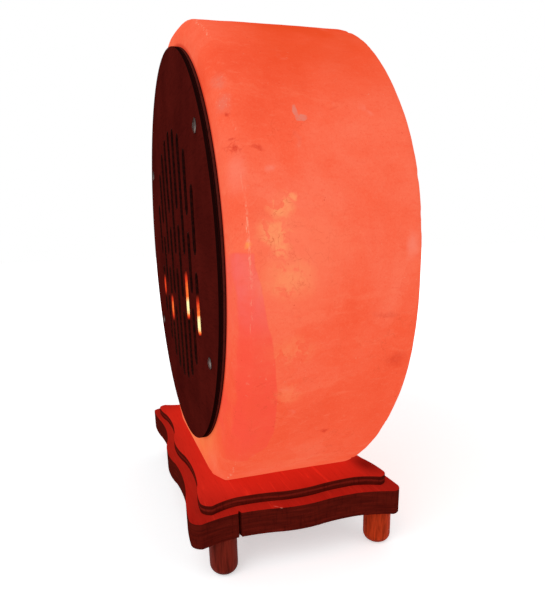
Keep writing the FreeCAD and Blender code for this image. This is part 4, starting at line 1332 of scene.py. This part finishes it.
def screw_cap(bulb):
    """The bulb's thin screw cap: turned lip, rolled thread, flare and inside wall.

    With the thread's wave w, the outside is r + t (w - 1) between two heights.
    """
    low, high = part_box("bulb_cap")
    mouth = (high.x - low.x) / 2
    lip, outer, wall, rolled_in = 5.6 * MM, 6.95 * MM, 0.4 * MM, 0.17 * MM
    bottom, thread_top = low.z, low.z + 15 * MM
    profile = divided(rounded_profile([
        (lip, bottom + 0.1 * MM), (lip, bottom), (outer, bottom), (outer, thread_top), (mouth, high.z),
        (mouth - wall, high.z), (outer - wall, thread_top + 0.3 * MM), (outer - wall, bottom + wall),
        (lip, bottom + wall), (lip, bottom + 0.2 * MM)], softness=0.35 * MM, steps=4), longest=0.4 * MM)

    def rolled(r, a, h):
        wave, in_force = thread_wave(bulb.thread_pitch, a, h, bottom + 1.2 * MM, thread_top - 0.6 * MM)
        return r + np.where(r > outer - 0.15 * MM, rolled_in * (wave - 1) * in_force, 0.0)

    return closed_piece("bulb_screw_cap", turned_surface(profile, 120, rolled), "bulb",
                        "bulb_cap", sharp=50)


def coiled_filament(bulb):
    """Fine coil along the arch between the two leads.

    The arch is z = z0 + rise (1 - (x / half)^2), and the wire runs round it as
    c (cos(2 pi n t) u + sin(2 pi n t) v) for t from -1/2 to 1/2.
    """
    low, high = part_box("bulb_filament")
    half = high.x - 0.45 * MM
    coil, wire, steps_a_turn = 0.24 * MM, 0.07 * MM, 14
    along = np.linspace(-1, 1, bulb.coil_turns * steps_a_turn)
    level = np.zeros_like(along)
    rise = high.z - low.z - 2 * (coil + wire)
    arch = np.column_stack([along * half, level, low.z + coil + wire + rise * (1 - along ** 2)])
    slope = np.column_stack([level + half, level, -2 * rise * along])
    slope /= np.linalg.norm(slope, axis=1, keepdims=True)
    normal = np.column_stack([-slope[:, 2], level, slope[:, 0]])
    turn = along[:, None] * np.pi * bulb.coil_turns
    path = arch + coil * (np.cos(turn) * (0.0, 1.0, 0.0) + np.sin(turn) * normal)
    return closed_piece("coiled_filament", tube_along(path, wire, 6), "bulb",
                        "bulb_filament", sharp=70)


class LAMP_OT_bulb(bpy.types.Operator):
    """Tubular bulb: threaded cap, lit glass, stem, wires and coiled filament"""

    bl_idname = "lamp.bulb"
    bl_label = "Bulb"

    def execute(self, context):
        bulb = context.scene.lamp_bulb
        wear(screw_cap(bulb), bpy.data.materials["nickel_shell"])
        wear(coiled_filament(bulb), glowing_finish())
        for node, name, slot, finish, width in (
                ("bulb_glass", "bulb_envelope", "lit_glass", lit_glass_finish(bulb), 0.0),
                ("bulb_stem", "bulb_glass_stem", "stem_glass",
                 clear_glass_finish("stem_glass", (236, 222, 200)), 0.2 * MM),
                ("bulb_insulator", "bulb_dark_insulator", "dark_glass",
                 clear_glass_finish("dark_glass", (30, 26, 34)), 0.15 * MM)):
            wear(softened_copy(node, name, "bulb", width, sharp=50), finish)
        tip = softened_copy("bulb_contact", "bulb_solder_tip", "bulb_tip", 0.1 * MM)
        wear(tip, metal_finish("solder_pip", (184, 184, 186), 0.4, 0.4, 0.5))
        wire = metal_finish("lead_wire", (176, 170, 160), 0.35)
        for node in ("bulb_leads", "filament_supports"):
            wear(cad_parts[node], wire)
        return {"FINISHED"}


# ------------------------------------------------------------------ stage

# the camera's place in metres, its three directions, and its lens shift as shares of the frame
CAMERA_PLACE = (0.30736, -0.08932, 0.16628)
CAMERA_RIGHT = (0.2728286, 0.9612729, -0.0389752)
CAMERA_UP = (-0.2587501, 0.1123374, 0.9593898)
CAMERA_BACK = (0.9266137, -0.2516641, 0.2793783)
CAMERA_SHIFT = (0.0522, 0.1485)
LAMP_AIM = (0, 0, 0.12)
WHITE = (1, 1, 1)


def floor_surface():
    """Flat round floor: points (r cos a, r sin a, 0) on rings that grow outwards."""
    rings = np.array([0.0, 0.1, 0.25, 0.5, 1.0, 2.0, 4.0, 8.0])
    return turned_surface(np.column_stack([rings, np.zeros(len(rings))]), 96)


def floor_finish(stage):
    """Pale matt floor; the camera sees it lifted towards white, wholly so far from the lamp."""
    f = Finish("pale_floor", roughness=0.9, specular=0.1)
    path = f.tree.nodes.new("ShaderNodeLightPath")
    seen = f.any(path.outputs["Is Camera Ray"], path.outputs["Is Glossy Ray"],
                 path.outputs["Is Transmission Ray"])
    far = f.vector("LENGTH", f.place, out="Value")
    lift = f.band(far, 220, 800, stage.floor_lift, 1.0)
    faint = f.band(f.noise(0.004, 3, 0.5), 0.3, 0.7, 0.0, 0.02)
    return f.set(Base_Color=f.mix(faint, tuple(stage.floor_tone), (0.8, 0.8, 0.8)),
                 Emission_Color=WHITE, Emission_Strength=f.times(seen, lift))


def plain_sky(stage):
    """World that lights evenly and shows white to the camera."""
    world = bpy.data.worlds.new("plain_sky")
    bpy.context.scene.world = world
    world.use_nodes = True
    tree = world.node_tree
    tree.nodes.clear()
    path = tree.nodes.new("ShaderNodeLightPath")
    light, seen = tree.nodes.new("ShaderNodeBackground"), tree.nodes.new("ShaderNodeBackground")
    light.inputs["Strength"].default_value = stage.sky
    light.inputs["Color"].default_value = (*WHITE, 1)
    seen.inputs["Color"].default_value = (*WHITE, 1)
    either = tree.nodes.new("ShaderNodeMath")
    either.operation = "MAXIMUM"
    blend = tree.nodes.new("ShaderNodeMixShader")
    result = tree.nodes.new("ShaderNodeOutputWorld")
    for output, goal in ((path.outputs["Is Camera Ray"], either.inputs[0]),
                         (path.outputs["Is Transmission Ray"], either.inputs[1]),
                         (either.outputs[0], blend.inputs[0]),
                         (light.outputs[0], blend.inputs[1]),
                         (seen.outputs[0], blend.inputs[2]),
                         (blend.outputs[0], result.inputs["Surface"])):
        tree.links.new(output, goal)


def soft_lamp(name, place, power):
    """White square soft lamp that points at the drum."""
    light = bpy.data.lights.new(name, "AREA")
    light.shape = "SQUARE"
    light.size = 0.9
    light.energy = power
    light.color = WHITE
    lamp = bpy.data.objects.new(name, light)
    bpy.context.scene.collection.objects.link(lamp)
    place = Vector(place)
    turn = (Vector(LAMP_AIM) - place).to_track_quat("-Z", "Y").to_matrix().to_4x4()
    lamp.matrix_world = Matrix.Translation(place) @ turn


def photograph_camera(stage):
    """Camera at the photograph's place and angle."""
    camera_data = bpy.data.cameras.new("photograph")
    camera = bpy.data.objects.new("photograph", camera_data)
    bpy.context.scene.collection.objects.link(camera)
    turn = Matrix((CAMERA_RIGHT, CAMERA_UP, CAMERA_BACK)).transposed().to_4x4()
    camera.matrix_world = Matrix.Translation(CAMERA_PLACE) @ turn
    camera_data.lens = stage.lens
    camera_data.sensor_width = 36
    camera_data.shift_x, camera_data.shift_y = CAMERA_SHIFT
    camera_data.clip_start = 0.01
    return camera


class LAMP_OT_stage(bpy.types.Operator):
    """Pale floor, plain sky, soft lamps and the camera at the photograph's angle"""

    bl_idname = "lamp.stage"
    bl_label = "Stage"

    def execute(self, context):
        stage = context.scene.lamp_stage
        floor = new_piece("floor", *floor_surface())
        floor.data.shade_smooth()
        wear(floor, floor_finish(stage))
        plain_sky(stage)
        soft_lamp("key", (0.55, -0.75, 0.85), stage.key_power)
        soft_lamp("fill", (0.7, 0.7, 0.5), stage.key_power * 0.22)
        context.scene.camera = photograph_camera(stage)
        context.scene.view_settings.view_transform = "Standard"
        return {"FINISHED"}


# ------------------------------------------------------------------ panel

class LAMP_PT_panel(bpy.types.Panel):
    """Buttons and sizes of the salt lamp"""

    bl_label = "Salt Lamp"
    bl_idname = "LAMP_PT_panel"
    bl_space_type = "VIEW_3D"
    bl_region_type = "UI"
    bl_category = "Salt Lamp"

    def draw(self, context):
        column = self.layout.column()
        for operator in OPERATORS:
            column.operator(operator.bl_idname)
        for name, group in SETTINGS.items():
            held = getattr(context.scene, name)
            for prop in group.__annotations__:
                column.prop(held, prop)


OPERATORS = (LAMP_OT_salt, LAMP_OT_plaque, LAMP_OT_base, LAMP_OT_pegs, LAMP_OT_screws,
             LAMP_OT_lampholder, LAMP_OT_bulb, LAMP_OT_stage)
SETTINGS = {"lamp_salt": SaltSettings, "lamp_plaque": PlaqueSettings, "lamp_base": BaseSettings,
            "lamp_bulb": BulbSettings, "lamp_stage": StageSettings}


def register():
    for group in SETTINGS.values():
        bpy.utils.register_class(group)
    for name, group in SETTINGS.items():
        setattr(bpy.types.Scene, name, bpy.props.PointerProperty(type=group))
    for operator in OPERATORS:
        bpy.utils.register_class(operator)
    bpy.utils.register_class(LAMP_PT_panel)


def unregister():
    bpy.utils.unregister_class(LAMP_PT_panel)
    for operator in reversed(OPERATORS):
        bpy.utils.unregister_class(operator)
    for name in SETTINGS:
        delattr(bpy.types.Scene, name)
    for group in reversed(list(SETTINGS.values())):
        bpy.utils.unregister_class(group)


def main():
    register()
    for make in (bpy.ops.lamp.stage, bpy.ops.lamp.salt, bpy.ops.lamp.plaque, bpy.ops.lamp.base,
                 bpy.ops.lamp.pegs, bpy.ops.lamp.screws, bpy.ops.lamp.lampholder, bpy.ops.lamp.bulb):
        make()


if __name__ == "__main__":
    main()
